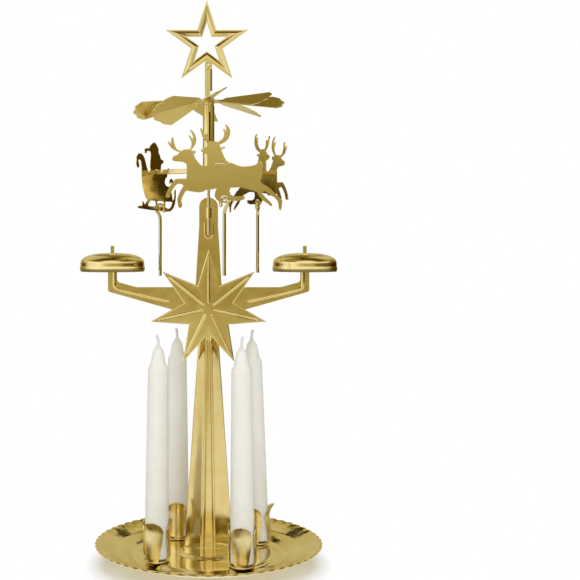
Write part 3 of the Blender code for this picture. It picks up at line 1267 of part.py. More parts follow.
def make_star_stem():
    """Build the folded stem: a web with a flange, and the tongue in the ferrule."""
    depths = ((STEM_LEFT, 0.0), (STEM_RIGHT, 0.0),
              (STEM_RIGHT + STEM_FLANGE_REACH, STEM_FLANGE_DEPTH))
    rows = [[(x, depth, height) for x, depth in depths]
            for height in (STEM_WEB_FOOT_HEIGHT, STEM_TOP_HEIGHT)]
    mesh = rows_mesh("star_stem", rows)
    stem = add_part("star_stem", mesh, BRASS)
    thicken(stem, SHEET)
    half = STEM_TONGUE_HALF_WIDTH
    skin = SHEET / 10
    outline = [
        (STEM_LEFT + skin, STEM_WEB_FOOT_HEIGHT + half),
        (STEM_LEFT + skin, STEM_SHOULDER_HEIGHT),
        (-half, STEM_SHOULDER_HEIGHT),
        (-half, STEM_FOOT_HEIGHT),
        (half, STEM_FOOT_HEIGHT),
        (half, STEM_WEB_FOOT_HEIGHT + half),
    ]
    tongue = upright(flat_mesh("stem_tongue", [outline], SHEET - 2 * skin))
    combine(stem, add_cutter("stem_tongue", tongue), "UNION")
    hole = rivet_hole_mesh("stem_hole", -SHEET - CUT_OVERRUN, SHEET + CUT_OVERRUN)
    combine(stem, add_cutter("stem_hole", hole), "DIFFERENCE")


def make_star_rivet():
    """Build the rivet through the star's tab and the stem."""
    front = -SHEET * 1.5 - SEAT_GAP * 2
    back = SHEET / 2 + SEAT_GAP
    profile = [
        (0, back + STAR_RIVET_HEAD_HEIGHT),
        (STAR_RIVET_HEAD_RADIUS, back + STAR_RIVET_HEAD_HEIGHT),
        (STAR_RIVET_HEAD_RADIUS, back),
        (STAR_RIVET_RADIUS, back),
        (STAR_RIVET_RADIUS, front),
        (STAR_RIVET_HEAD_RADIUS, front),
        (STAR_RIVET_HEAD_RADIUS * 0.7, front - STAR_RIVET_HEAD_HEIGHT),
        (0, front - STAR_RIVET_HEAD_HEIGHT),
    ]
    mesh = turned_mesh("star_rivet", profile, 12)
    mesh.transform(Matrix.Rotation(-math.pi / 2, 4, "X"))
    rivet = add_part("star_rivet", mesh, BRASS)
    rivet.location = (0, 0, STAR_RIVET_HEIGHT)


def carrier_arm_outline(angle):
    """List one arm of the carrier's web in plan, from its ring out to the tongue's end."""
    half = CARRIER_ARM_HALF_WIDTH
    root = math.asin(half / CARRIER_RING_RADIUS)
    face = FIGURE_RADIUS + SHEET / 2 + SEAT_GAP + TONGUE_REACH
    points = [(CARRIER_RING_RADIUS * math.cos(root), -half), (face, -half), (face, half),
              (CARRIER_RING_RADIUS * math.cos(root), half)]
    turn = Matrix.Rotation(angle, 2)
    return [tuple(turn @ Vector(point)) for point in points]


def carrier_flange_mesh(angle, side):
    """Make the flange that is folded down along one edge of an arm."""
    outer = side * (CARRIER_ARM_HALF_WIDTH - CARRIER_EDGE)
    inner = outer - side * (SHEET - CARRIER_EDGE)
    start = CARRIER_RING_RADIUS + CARRIER_EDGE
    end = FIGURE_RADIUS - SHEET / 2 - SEAT_GAP
    top = CARRIER_WEB_MIDDLE
    mesh = box_mesh("carrier_flange", (start, min(outer, inner), CARRIER_HEIGHT),
                    (end, max(outer, inner), top))
    mesh.transform(Matrix.Rotation(angle, 4, "Z"))
    return mesh


def carrier_fold_mesh(angle):
    """Make the end of an arm's tongue, folded down outside its figure."""
    face = FIGURE_RADIUS + SHEET / 2 + SEAT_GAP
    half = CARRIER_ARM_HALF_WIDTH - CARRIER_EDGE
    mesh = box_mesh("carrier_fold", (face, -half, CARRIER_WEB_MIDDLE - TONGUE_FOLD),
                    (face + TONGUE_REACH - CARRIER_EDGE, half, CARRIER_WEB_MIDDLE))
    mesh.transform(Matrix.Rotation(angle, 4, "Z"))
    return mesh


def make_figure_carrier():
    """Build the carrier: a ring round the tube and three channel arms that end in tongues."""
    outline = []
    arms = sorted(angle % math.tau for angle in ARM_ANGLES)
    root = math.asin(CARRIER_ARM_HALF_WIDTH / CARRIER_RING_RADIUS)
    arc_steps = 6
    for index, angle in enumerate(arms):
        outline += carrier_arm_outline(angle)
        following = arms[(index + 1) % len(arms)]
        if following <= angle:
            following += math.tau
        start, end = angle + root, following - root
        for step in range(1, arc_steps):
            turn = start + (end - start) * step / arc_steps
            outline.append((CARRIER_RING_RADIUS * math.cos(turn),
                            CARRIER_RING_RADIUS * math.sin(turn)))
    bore = TUBE_RADIUS + SEAT_GAP
    sides = 24
    hole = [(bore * math.cos(math.tau * index / sides), bore * math.sin(math.tau * index / sides))
            for index in range(sides)]
    mesh = flat_mesh("figure_carrier", [outline, hole], SHEET)
    mesh.transform(Matrix.Translation((0, 0, CARRIER_WEB_MIDDLE)))
    carrier = add_part("figure_carrier", mesh, BRASS)
    for index, angle in enumerate(ARM_ANGLES):
        pieces = [carrier_flange_mesh(angle, side) for side in (-1, 1)]
        pieces.append(carrier_fold_mesh(angle))
        name = "carrier_arm_" + str(index + 1)
        combine(carrier, add_cutter(name, join_meshes(name, pieces)), "UNION")


def slot_loop(middle):
    """List the slot that an arm's tongue passes through."""
    half_width = CARRIER_ARM_HALF_WIDTH + SEAT_GAP
    half_height = SHEET / 2 + SEAT_GAP
    rise = CARRIER_WEB_MIDDLE - FIGURE_FOOT_HEIGHT
    return [(middle - half_width, rise - half_height), (middle + half_width, rise - half_height),
            (middle + half_width, rise + half_height), (middle - half_width, rise + half_height)]


def eye_hole_loop(middle, rise):
    """List the hole that a striker's eye passes through, with its corners cut."""
    width, height, corner = EYE_HOLE_HALF_WIDTH, EYE_HOLE_HALF_HEIGHT, EYE_HOLE_CORNER
    corners = [(width, height - corner), (width - corner, height), (corner - width, height),
               (-width, height - corner), (-width, corner - height), (corner - width, -height),
               (width - corner, -height), (width, corner - height)]
    return [(middle + x, rise + z) for x, z in corners]


def place_figure(name, loops, slot_middle, angle):
    """Stand a flat figure on its arm, with the slot's middle on the arm's line."""
    shifted = [[(x - slot_middle, rise) for x, rise in loop] for loop in loops]
    figure = add_part(name, upright(flat_mesh(name, shifted, SHEET)), BRASS)
    figure.location = (FIGURE_RADIUS * math.cos(angle), FIGURE_RADIUS * math.sin(angle),
                       FIGURE_FOOT_HEIGHT)
    figure.rotation_euler = (0, 0, angle + math.pi / 2)
    return figure


def scaled(outline_shares, step):
    """Turn an outline in shares into metres."""
    return [(along * step, rise * step) for along, rise in outline_shares]


def make_reindeer(name, angle):
    """Build one pair of reindeer, which runs clockwise seen from above."""
    slot_middle = PAIR_SLOT_SHARE * PAIR_STEP
    hole_middle = PAIR_HOLE_SHARE * PAIR_STEP
    rise = PAIR_EYE_HEIGHT + EYE_HOLE_RISE - FIGURE_FOOT_HEIGHT
    loops = [scaled(PAIR_OUTLINE_SHARES, PAIR_STEP), slot_loop(slot_middle),
             eye_hole_loop(hole_middle, rise)]
    place_figure(name, loops, slot_middle, angle)


def make_sleigh(angle):
    """Build the sleigh with its driver and the windows over its runner."""
    length_mirror = 2 * SLEIGH_SLOT_SHARE * SLEIGH_STEP
    loops = [scaled(SLEIGH_OUTLINE_SHARES, SLEIGH_STEP)]
    loops += [scaled(window, SLEIGH_STEP) for window in SLEIGH_WINDOWS_SHARES]
    mirrored = [[(length_mirror - x, rise) for x, rise in loop] for loop in loops]
    slot_middle = SLEIGH_SLOT_SHARE * SLEIGH_STEP
    place_figure("sleigh", mirrored + [slot_loop(slot_middle)], slot_middle, angle)


def striker_mesh(name):
    """Bend one striker: the eye round its own middle, the neck and the straight wire."""
    points = [(0, 0, -STRIKER_LENGTH), (0, 0, -STRIKER_LENGTH / 2), (0, 0, -STRIKER_NECK_DROP)]
    neck = Vector((STRIKER_NECK_SIDE, 0, -(STRIKER_NECK_DROP + STRIKER_EYE_RADIUS) / 2))
    points.append(tuple(neck))
    for index in range(EYE_STEPS + 1):
        angle = EYE_START + (EYE_END - EYE_START) * index / EYE_STEPS
        points.append((STRIKER_EYE_RADIUS * math.cos(angle), 0,
                       STRIKER_EYE_RADIUS * math.sin(angle)))
    return wire_mesh(name, points, STRIKER_WIRE_RADIUS)


def make_striker(name, angle, along, height):
    """Hang one striker in its figure, its eye turned across the sheet."""
    out = Vector((math.cos(angle), math.sin(angle), 0))
    side = Vector((-math.sin(angle), math.cos(angle), 0))
    striker = add_part(name, striker_mesh(name), BRASS_DARK)
    striker.location = out * FIGURE_RADIUS + side * along + Vector((0, 0, height))
    striker.rotation_euler = (0, 0, angle + STRIKER_TURN)


def build():
    """Build the whole carousel."""
    make_tray()
    make_post()
    make_cross_panel()
    make_star_panel()
    make_needle()
    make_bells()
    for index in range(len(HOLDER_NAMES)):
        make_holder(index)
        make_holder_rivet(index)
        make_wick(index, make_candle(index))
    make_rotor_tube()
    make_bearing_cup()
    make_vane_wheel()
    make_hub_collar()
    make_top_star()
    make_star_stem()
    make_star_rivet()
    make_figure_carrier()
    front, rear, left = ARM_ANGLES
    make_reindeer("reindeer_front", front)
    make_reindeer("reindeer_rear", rear)
    make_sleigh(left)
    pair_along = (PAIR_HOLE_SHARE - PAIR_SLOT_SHARE) * PAIR_STEP
    sleigh_along = (SLEIGH_SLOT_SHARE - SLEIGH_HOLE_SHARE) * SLEIGH_STEP
    make_striker("striker_front", front, pair_along, PAIR_EYE_HEIGHT)
    make_striker("striker_rear", rear, pair_along, PAIR_EYE_HEIGHT)
    make_striker("striker_left", left, sleigh_along, SLEIGH_EYE_HEIGHT)


build()
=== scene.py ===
"""The finished look of the candle carousel: polished brass sheet, wax candles and cotton wicks.

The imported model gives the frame. Every piece here is shaped in millimetres, brought to metres when
it is finished, and rides on the body of the node that it stands for.
"""
import logging
from collections.abc import Callable, Sequence
from dataclasses import dataclass, field
from enum import Enum
from functools import cache
from math import asin, atan2, cos, degrees, hypot, pi, radians, sin, sqrt, tau

import bmesh
import bpy
from mathutils import Matrix, Vector


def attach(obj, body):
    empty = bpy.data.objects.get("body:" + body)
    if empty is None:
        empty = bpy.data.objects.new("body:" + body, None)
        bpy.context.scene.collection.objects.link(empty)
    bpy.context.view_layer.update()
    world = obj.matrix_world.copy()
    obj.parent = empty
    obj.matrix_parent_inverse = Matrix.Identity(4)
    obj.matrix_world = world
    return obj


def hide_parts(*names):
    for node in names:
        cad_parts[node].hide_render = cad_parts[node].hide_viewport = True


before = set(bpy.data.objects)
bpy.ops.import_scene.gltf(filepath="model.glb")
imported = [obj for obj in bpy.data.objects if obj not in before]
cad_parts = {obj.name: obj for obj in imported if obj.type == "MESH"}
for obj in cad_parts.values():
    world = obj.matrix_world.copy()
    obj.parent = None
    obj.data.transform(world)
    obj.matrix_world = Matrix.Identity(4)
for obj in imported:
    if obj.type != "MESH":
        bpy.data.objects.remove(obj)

logging.basicConfig(level=logging.INFO, format="%(message)s")
LOG = logging.getLogger("carousel")

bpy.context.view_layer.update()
MILLIMETRE = 0.001
POLE = 0.0005
WELD = 0.002

Point2 = tuple[float, float]
Point3 = tuple[float, float, float]
Colour = tuple[float, float, float]
Line = tuple[Point2, ...]
Piece = bpy.types.Object
Socket = bpy.types.NodeSocket
Node = bpy.types.Node


class Body(Enum):
    """The moving bodies that a piece can ride on."""

    BASE = "base"
    ROTOR = "rotor"


class Slot(Enum):
    """The material slots of the record."""

    BRASS = "brass"
    STEEL = "steel"
    WAX = "wax"
    COTTON = "cotton"


class Plane(Enum):
    """The plane that a flat piece is drawn in."""

    UPRIGHT = "upright"
    LEVEL = "level"


class Hand(Enum):
    """The two sides of the cross panel."""

    LEFT = -1
    RIGHT = 1


def smooth_line(points: Sequence[Sequence[float]], steps: int) -> list[tuple[float, ...]]:
    """Draw a flowing curve through each point of a run.

    Args:
        points: The points that the curve passes through.
        steps: The number of steps between two of them.

    Returns:
        The points of the curve.
    """
    run = [Vector(point) for point in points]
    run = [run[0] * 2 - run[1]] + run + [run[-1] * 2 - run[-2]]
    line: list[tuple[float, ...]] = []
    for before, start, end, after in zip(run, run[1:], run[2:], run[3:]):
        for step in range(steps):
            t = step / steps
            point = start * 2 + (end - before) * t
            point += (before * 2 - start * 5 + end * 4 - after) * t ** 2
            point += (start * 3 - before - end * 3 + after) * t ** 3
            line.append(tuple(point / 2))
    line.append(tuple(run[-2]))
    return line


def arc(middle: Point2, radius: float, start: float, end: float, steps: int) -> list[Point2]:
    """List the points of an arc.

    Args:
        middle: The arc's centre.
        radius: The arc's radius.
        start: The first angle in degrees.
        end: The last angle in degrees.
        steps: The number of steps along it.

    Returns:
        The points, in order.
    """
    points = []
    for step in range(steps + 1):
        across, up = polar(radius, radians(start + (end - start) * step / steps))
        points.append((middle[0] + across, middle[1] + up))
    return points


def polar(reach: float, turn: float) -> Point2:
    """Give the X and Y of a place by its reach and its turn in radians."""
    return (reach * cos(turn), reach * sin(turn))


class Bench:
    """The hand tools that every piece is shaped with, in millimetres."""

    def deselect(self) -> None:
        """Let go of everything, in edit mode too."""
        if bpy.context.object and bpy.context.object.mode != "OBJECT":
            bpy.ops.object.mode_set(mode="OBJECT")
        bpy.ops.object.select_all(action="DESELECT")

    def open(self) -> None:
        """Open the active piece with all of it selected."""
        bpy.ops.object.mode_set(mode="EDIT")
        bpy.ops.mesh.select_all(action="SELECT")

    def shut(self) -> None:
        """Close edit mode."""
        bpy.ops.object.mode_set(mode="OBJECT")

    def outwards(self) -> None:
        """Turn the open piece's faces outwards."""
        bpy.ops.mesh.select_all(action="SELECT")
        bpy.ops.mesh.normals_make_consistent(inside=False)

    def take(self, name: str) -> Piece:
        """Name the new primitive, fix its place and open it for shaping.

        Args:
            name: The piece's name.

        Returns:
            The piece, in edit mode with all of it selected.
        """
        piece = bpy.context.object
        piece.name = name
        piece.data.name = name
        bpy.ops.object.transform_apply(location=True, rotation=True, scale=True)
        self.open()
        return piece

    def hold(self, piece: Piece) -> None:
        """Select one piece alone and make it the active one."""
        self.deselect()
        piece.select_set(True)
        bpy.context.view_layer.objects.active = piece

    def extrude(self, way: Point3) -> None:
        """Draw all of the open piece out along a way."""
        bpy.ops.mesh.select_all(action="SELECT")
        bpy.ops.mesh.extrude_region_move(TRANSFORM_OT_translate={"value": way})

    def reshape(self, piece: Piece, press: Callable[[Vector], Sequence[float]]) -> None:
        """Press each point of the open piece to a new place.

        Args:
            piece: The piece that is open in edit mode.
            press: Gives the new place for the old one.
        """
        shape = bmesh.from_edit_mesh(piece.data)
        for vert in shape.verts:
            vert.co = press(vert.co)
        bmesh.update_edit_mesh(piece.data)

    def face(self, piece: Piece, way: Point3) -> None:
        """Turn an open sheet over where its faces look against a way.

        Args:
            piece: The sheet, in object mode.
            way: The way it has to look.
        """
        if piece.data.polygons[0].normal.dot(Vector(way)) < 0:
            self.open()
            bpy.ops.mesh.flip_normals()
            self.shut()

    def clean(self) -> None:
        """Weld the open piece's doubles, turn its faces outwards and close edit mode."""
        bpy.ops.mesh.select_mode(type="VERT")
        bpy.ops.mesh.select_all(action="SELECT")
        bpy.ops.mesh.remove_doubles(threshold=WELD)
        bpy.ops.mesh.normals_make_consistent(inside=False)
        self.shut()

    def turned(self, name: str, profile: Sequence[Point2], sides: int,
               middle: Point2 = (0.0, 0.0)) -> Piece:
        """Draw a ring out level after level, as on a lathe.

        Args:
            name: The piece's name.
            profile: Radius and height of each level, outer face first.
            sides: The number of sides round.
            middle: Where the axis stands.

        Returns:
            The turned piece, in object mode.
        """
        self.deselect()
        first = max(profile[0][0], POLE)
        bpy.ops.mesh.primitive_circle_add(vertices=sides, radius=first,
                                          location=(*middle, profile[0][1]))
        piece = self.take(name)
        for (near, low), (far, high) in zip(profile, profile[1:]):
            factor = max(far, POLE) / max(near, POLE)
            bpy.ops.mesh.extrude_region_move(TRANSFORM_OT_translate={"value": (0, 0, high - low)})
            bpy.ops.transform.resize(value=(factor, factor, 1), center_override=(*middle, 0))
        self.clean()
        return piece

    def draw(self, piece: Piece, points: Sequence[Point3], closed: bool) -> None:
        """Draw a line through points, one after the other, in the open piece.

        Args:
            piece: The piece that is open in edit mode.
            points: The points of the line.
            closed: Whether the line runs back to its start.
        """
        bpy.ops.mesh.select_all(action="DESELECT")
        bpy.ops.mesh.primitive_plane_add(size=1.0, location=points[0])
        bpy.ops.mesh.merge(type="CENTER")
        for here, there in zip(points, points[1:]):
            step = tuple(Vector(there) - Vector(here))
            bpy.ops.mesh.extrude_vertices_move(TRANSFORM_OT_translate={"value": step})
        if closed:
            self.fill_between(piece, (points[0], points[-1]))

    def blank(self, name: str) -> Piece:
        """Open an empty piece to draw in.

        Args:
            name: The piece's name.

        Returns:
            The empty piece, in edit mode.
        """
        self.deselect()
        bpy.ops.mesh.primitive_plane_add(size=1.0)
        piece = self.take(name)
        bpy.ops.mesh.delete(type="VERT")
        return piece

    def plate(self, name: str, loops: Sequence[Sequence[Point2]], level: float, thickness: float,
              plane: Plane = Plane.UPRIGHT) -> Piece:
        """Cut a flat piece out of sheet, with windows where loops lie inside the first.

        Args:
            name: The piece's name.
            loops: The outline, then its windows.
            level: The front face's Y, or the lower face's Z for a level piece.
            thickness: The sheet's thickness, which runs to +Y or +Z.
            plane: The plane that it is drawn in.

        Returns:
            The plate, in object mode.
        """
        piece = self.blank(name)
        for loop in loops:
            if plane is Plane.UPRIGHT:
                line = [(x, level, z) for x, z in loop]
            else:
                line = [(x, y, level) for x, y in loop]
            self.draw(piece, line, True)
        bpy.ops.mesh.select_all(action="SELECT")
        bpy.ops.mesh.fill(use_beauty=True)
        self.extrude((0, thickness, 0) if plane is Plane.UPRIGHT else (0, 0, thickness))
        self.clean()
        return piece

    def folded(self, name: str, section: Sequence[Point2], start: float, end: float,
               thickness: float, plane: Plane = Plane.UPRIGHT,
               facing: Point3 | None = None) -> Piece:
        """Fold a strip of sheet from its section, along X, or along Z from a level section.

        Args:
            name: The piece's name.
            section: The section's (Y, Z) points, or (X, Y) for a level one, along its outer face.
            start: Where the strip starts.
            end: Where it ends.
            thickness: The sheet's thickness, inwards.
            plane: The section's plane.
            facing: The way that its outer face looks, where the section doesn't tell it.

        Returns:
            The strip, in object mode.
        """
        piece = self.blank(name)
        if plane is Plane.UPRIGHT:
            line, way = [(start, y, z) for y, z in section], (end - start, 0, 0)
        else:
            line, way = [(x, y, start) for x, y in section], (0, 0, end - start)
        self.draw(piece, line, False)
        self.extrude(way)
        self.clean()
        if facing:
            self.face(piece, facing)
        self.wall(piece, thickness, -1.0)
        return piece

    def bridged(self, name: str, loops: Sequence[Sequence[Point3]]) -> Piece:
        """Draw closed loops and join each one to the next, and the last to the first.

        Args:
            name: The piece's name.
            loops: The loops, each with the same number of points.

        Returns:
            The closed ring of faces, in object mode.
        """
        piece = self.blank(name)
        for loop in loops:
            self.draw(piece, loop, True)
        for here, there in zip(loops, [*loops[1:], loops[0]]):
            for corner in range(len(here)):
                after = (corner + 1) % len(here)
                self.fill_between(piece, (here[corner], here[after], there[after], there[corner]))
        self.clean()
        return piece

    def fill_between(self, piece: Piece, places: Sequence[Point3]) -> None:
        """Fill a face, or join an edge, between the open piece's points at some places.

        Args:
            piece: The piece that is open in edit mode.
            places: Where the points are, in order.
        """
        bpy.ops.mesh.select_all(action="DESELECT")
        shape = bmesh.from_edit_mesh(piece.data)
        for place in places:
            nearest = min(shape.verts, key=lambda vert: (vert.co - Vector(place)).length)
            nearest.select = True
        bmesh.update_edit_mesh(piece.data)
        bpy.ops.mesh.edge_face_add()

    def wire(self, name: str, points: Sequence[Point3], radius: float,
             shares: Sequence[float] | None = None, round_steps: int = 5) -> Piece:
        """Bend a round wire through points.

        Args:
            name: The piece's name.
            points: The points along the wire's middle.
            radius: The wire's radius.
            shares: How thick the wire is at each point, as a share of the radius.
            round_steps: How finely its section is rounded.

        Returns:
            The wire as a closed mesh, in object mode.
        """
        piece = self.blank(name)
        self.draw(piece, points, False)
        self.shut()
        bpy.ops.object.convert(target="CURVE")
        line = bpy.context.object
        line.data.bevel_depth = radius
        line.data.bevel_resolution = round_steps
        line.data.use_fill_caps = True
        if shares:
            spline = line.data.splines[0]
            ordered = list(shares)
            if (spline.points[0].co.to_3d() - Vector(points[0])).length > WELD:
                ordered.reverse()
            for point, share in zip(spline.points, ordered):
                point.radius = share
        bpy.ops.object.convert(target="MESH")
        line = bpy.context.object
        self.open()
        self.clean()
        return line

    def sheet(self, name: str, across: int, along: int,
              press: Callable[[float, float], Point3]) -> Piece:
        """Press a flat blank of sheet into shape between two dies.

        Args:
            name: The piece's name.
            across: The number of steps across the blank.
            along: The number of steps along it.
            press: Gives the pressed place for each place of the blank, both from 0 to 1.

        Returns:
            The pressed sheet, in object mode.
        """
        self.deselect()
        bpy.ops.mesh.primitive_grid_add(x_subdivisions=across, y_subdivisions=along, size=2.0)
        piece = self.take(name)
        self.reshape(piece, lambda spot: press((spot.x + 1) / 2, (spot.y + 1) / 2))
        self.outwards()
        self.shut()
        return piece

    def apply(self, piece: Piece, name: str) -> None:
        """Work a modifier into the piece's mesh."""
        self.hold(piece)
        bpy.ops.object.modifier_apply(modifier=name)

    def wall(self, piece: Piece, thickness: float, offset: float = 0.0) -> None:
        """Give a sheet its thickness.

        Args:
            piece: The sheet.
            thickness: Its thickness.
            offset: Which side it grows to: -1 inwards, 0 both, 1 outwards.
        """
        step = piece.modifiers.new("wall", "SOLIDIFY")
        step.thickness = thickness
        step.offset = offset
        step.use_even_offset = True
        self.apply(piece, "wall")

    def soften(self, piece: Piece, width: float, segments: int = 2, angle: float = 50.0) -> None:
        """Round a piece's sharp edges off, as tumbling and polishing do.

        Args:
            piece: The piece.
            width: How far an edge is cut back.
            segments: How finely it is rounded.
            angle: The angle in degrees from which an edge is sharp.
        """
        step = piece.modifiers.new("soften", "BEVEL")
        step.width = width
        step.segments = segments
        step.limit_method = "ANGLE"
        step.angle_limit = radians(angle)
        self.apply(piece, "soften")

    def place(self, piece: Piece, matrix: Matrix) -> None:
        """Move a piece, with the move worked into its mesh."""
        self.hold(piece)
        piece.matrix_world = matrix
        bpy.ops.object.transform_apply(location=True, rotation=True, scale=True)

    def copy(self, piece: Piece, name: str) -> Piece:
        """Copy a piece, with a mesh of its own.

        Args:
            piece: The piece that is copied.
            name: The copy's name.

        Returns:
            The copy.
        """
        self.hold(piece)
        bpy.ops.object.duplicate(linked=False)
        twin = bpy.context.object
        twin.name = name
        twin.data.name = name
        return twin

    def copies(self, stock: Piece, name: str, places: Sequence[Matrix]) -> list[Piece]:
        """Copy a piece to each of its places and put the first one away.

        Args:
            stock: The piece that is copied.
            name: The copies' name.
            places: Where each copy goes.

        Returns:
            The copies, in order.
        """
        pieces = []
        for matrix in places:
            pieces.append(self.copy(stock, name))
            self.place(pieces[-1], matrix)
        bpy.data.objects.remove(stock, do_unlink=True)
        return pieces

    def join(self, pieces: Sequence[Piece]) -> Piece:
        """Braze pieces together into the first of them.

        Args:
            pieces: The pieces that become one.

        Returns:
            The joined piece.
        """
        self.hold(pieces[0])
        for piece in pieces[1:]:
            piece.select_set(True)
        bpy.ops.object.join()
        return pieces[0]

    def finish(self, piece: Piece, finish: "Finish", body: str, node: str,
               smooth: float = 35.0) -> Piece:
        """Bring a shaped piece to metres, dress it and seat it on its body.

        Args:
            piece: The shaped piece, in millimetres.
            finish: Its finish.
            body: The body that it rides on.
            node: The node that it stands for.
            smooth: The angle in degrees under which faces are shaded as one surface.

        Returns:
            The finished piece.
        """
        self.place(piece, Matrix.Scale(MILLIMETRE, 4))
        bpy.ops.object.shade_smooth_by_angle(angle=radians(smooth))
        step = piece.modifiers.new("shading", "WEIGHTED_NORMAL")
        step.weight = 90
        step.keep_sharp = True
        self.apply(piece, "shading")
        piece.data.materials.clear()
        piece.data.materials.append(finish.material())
        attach(piece, body)
        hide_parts(node)
        LOG.info("%s: %d faces on %s", piece.name, len(piece.data.polygons), body)
        return piece


BENCH = Bench()


class NodeKit:
    """Short ways to lay out and feed the nodes of one tree."""

    def __init__(self, tree: bpy.types.NodeTree) -> None:
        """Work on one node tree."""
        self.tree = tree

    def feed(self, value: object, target: Socket) -> None:
        """Link a socket to an input, or give the input a plain value or a colour.

        Args:
            value: The socket or the plain value.
            target: The input.
        """
        if isinstance(value, Socket):
            self.tree.links.new(value, target)
        else:
            target.default_value = (*value, 1.0) if target.type == "RGBA" else value

    def fit(self, node: Node, inputs: dict[str | int, object]) -> None:
        """Feed a node's inputs, each by its name or number."""
        for key, value in inputs.items():
            self.feed(value, node.inputs[key])

    def add(self, kind: str, inputs: dict[str | int, object] | None = None, **settings: object) -> Node:
        """Add a node with its settings, and feed its inputs.

        Args:
            kind: The node's type, after the word ShaderNode.
            inputs: What goes into each input, by name or number.
            settings: The node's attributes.

        Returns:
            The node.
        """
        node = self.tree.nodes.new("ShaderNode" + kind)
        for key, value in settings.items():
            setattr(node, key, value)
        self.fit(node, inputs or {})
        return node

    def place(self) -> Socket:
        """Give the place on the piece that a pattern follows."""
        return self.add("TexCoord").outputs["Object"]

    def parts(self, place: Socket) -> bpy.types.bpy_prop_collection:
        """Split a place into its X, Y and Z."""
        return self.add("SeparateXYZ", {0: place}).outputs

    def math(self, operation: str, first: object, second: object = 0.0) -> Socket:
        """Work out one sum of two values, each a socket or a number."""
        return self.add("Math", {0: first, 1: second}, operation=operation).outputs[0]

    def span(self, value: object, low: float, high: float, to_low: float, to_high: float) -> Socket:
        """Stretch a value from the span low to high to the span to_low to to_high."""
        return self.add("MapRange", {0: value, 1: low, 2: high, 3: to_low, 4: to_high}).outputs[0]

    def mix(self, share: object, first: object, second: object, blend: str = "MIX") -> Socket:
        """Mix two colours, each a socket or a colour, with the second one's share."""
        return self.add("Mix", {0: share, 6: first, 7: second}, data_type="RGBA",
                        blend_type=blend).outputs[2]

    def blend(self, share: object, first: Node, second: Node) -> Node:
        """Mix the shaders of two nodes, with the second one's share."""
        return self.add("MixShader", {0: share, 1: first.outputs[0], 2: second.outputs[0]})

    def noise(self, place: Socket, scale: object, detail: float = 2.0, roughness: float = 0.5) -> Socket:
        """Lay out a cloudy pattern; detail gives its finer layers and roughness their strength."""
        return self.add("TexNoise", {"Vector": place, "Scale": scale, "Detail": detail,
                                               "Roughness": roughness}).outputs[0]

    def bump(self, height: Socket, strength: float, distance: float,
             under: Socket | None = None) -> Socket:
        """Raise a pattern out of the surface.

        Args:
            height: The pattern's socket.
            strength: How much of it shows.
            distance: Its depth in metres.
            under: The relief that it lies on.

        Returns:
            The relief's normal.
        """
        node = self.add("Bump", {"Height": height, "Strength": strength, "Distance": distance})
        if under:
            self.feed(under, node.inputs["Normal"])
        return node.outputs[0]


def bare_material(name: str) -> tuple[bpy.types.Material, NodeKit]:
    """Start a material with no nodes in it.

    Args:
        name: The material's name.
    """
    material = bpy.data.materials.new(name)
    material.use_nodes = True
    material.node_tree.nodes.clear()
    return material, NodeKit(material.node_tree)


class Effects:
    """The surface effects that several finishes share, each a node group built once."""

    def start(self, name: str, values: dict[str, float],
              outputs: Sequence[str]) -> tuple[NodeKit, Node, Node]:
        """Open a new effect that follows a place.

        Args:
            name: The effect's name.
            values: Name and plain value of each number that it takes.
            outputs: Name of each value that it puts out.
        """
        tree = bpy.data.node_groups.new(name, "ShaderNodeTree")
        tree.interface.new_socket(name="Place", in_out="INPUT", socket_type="NodeSocketVector")
        for label, value in values.items():
            socket = tree.interface.new_socket(name=label, in_out="INPUT", socket_type="NodeSocketFloat")
            socket.default_value = value
        for label in outputs:
            tree.interface.new_socket(name=label, in_out="OUTPUT", socket_type="NodeSocketFloat")
        kit = NodeKit(tree)
        return kit, tree.nodes.new("NodeGroupInput"), tree.nodes.new("NodeGroupOutput")

    @cache
    def handling(self) -> bpy.types.NodeTree:
        """Build the fine scratches and soft haze that handling and wiping leave on metal.

        Returns:
            The effect's tree.
        """
        kit, given, out = self.start("handling", {"Grain": 1.0}, ("Haze", "Height"))
        scaled = kit.add("VectorMath", {0: given.outputs["Place"],
                                                  "Scale": given.outputs["Grain"]},
                         operation="SCALE").outputs[0]
        stretch = kit.add("Mapping", {"Vector": scaled, "Rotation": (0.3, 0.5, 0.9),
                                                "Scale": (420.0, 420.0, 3200.0)})
        haze = kit.noise(scaled, 160.0, 4.0, 0.6)
        kit.fit(out, {"Haze": kit.span(haze, 0.35, 0.7, 0.0, 1.0),
                      "Height": kit.noise(stretch.outputs[0], 1.0)})
        return kit.tree

    @cache
    def waves(self) -> bpy.types.NodeTree:
        """Build the slow waves that pressing leaves in thin sheet.

        Returns:
            The effect's tree.
        """
        kit, given, out = self.start("waves", {"Size": 60.0, "Ripple": 0.0}, ("Height",))
        place, size = given.outputs["Place"], given.outputs["Size"]
        small = kit.noise(place, kit.math("MULTIPLY", size, 4.5), 1.0, 0.4)
        dents = kit.math("MULTIPLY", small, given.outputs["Ripple"])
        kit.fit(out, {"Height": kit.math("ADD", kit.noise(place, size, 1.0, 0.4), dents)})
        return kit.tree

    @cache
    def toning(self) -> bpy.types.NodeTree:
        """Build the warm toning that brass takes on in patches and small specks.

        Returns:
            The effect's tree.
        """
        kit, given, out = self.start("toning", {"Amount": 0.5}, ("Mask",))
        place = given.outputs["Place"]
        patches = kit.span(kit.noise(place, 75.0, 5.0, 0.55), 0.42, 0.72, 0.0, 1.0)
        specks = kit.span(kit.noise(place, 900.0), 0.72, 0.8, 0.0, 0.4)
        both = kit.math("MAXIMUM", patches, specks)
        kit.fit(out, {"Mask": kit.math("MULTIPLY", both, given.outputs["Amount"])})
        return kit.tree


EFFECTS = Effects()


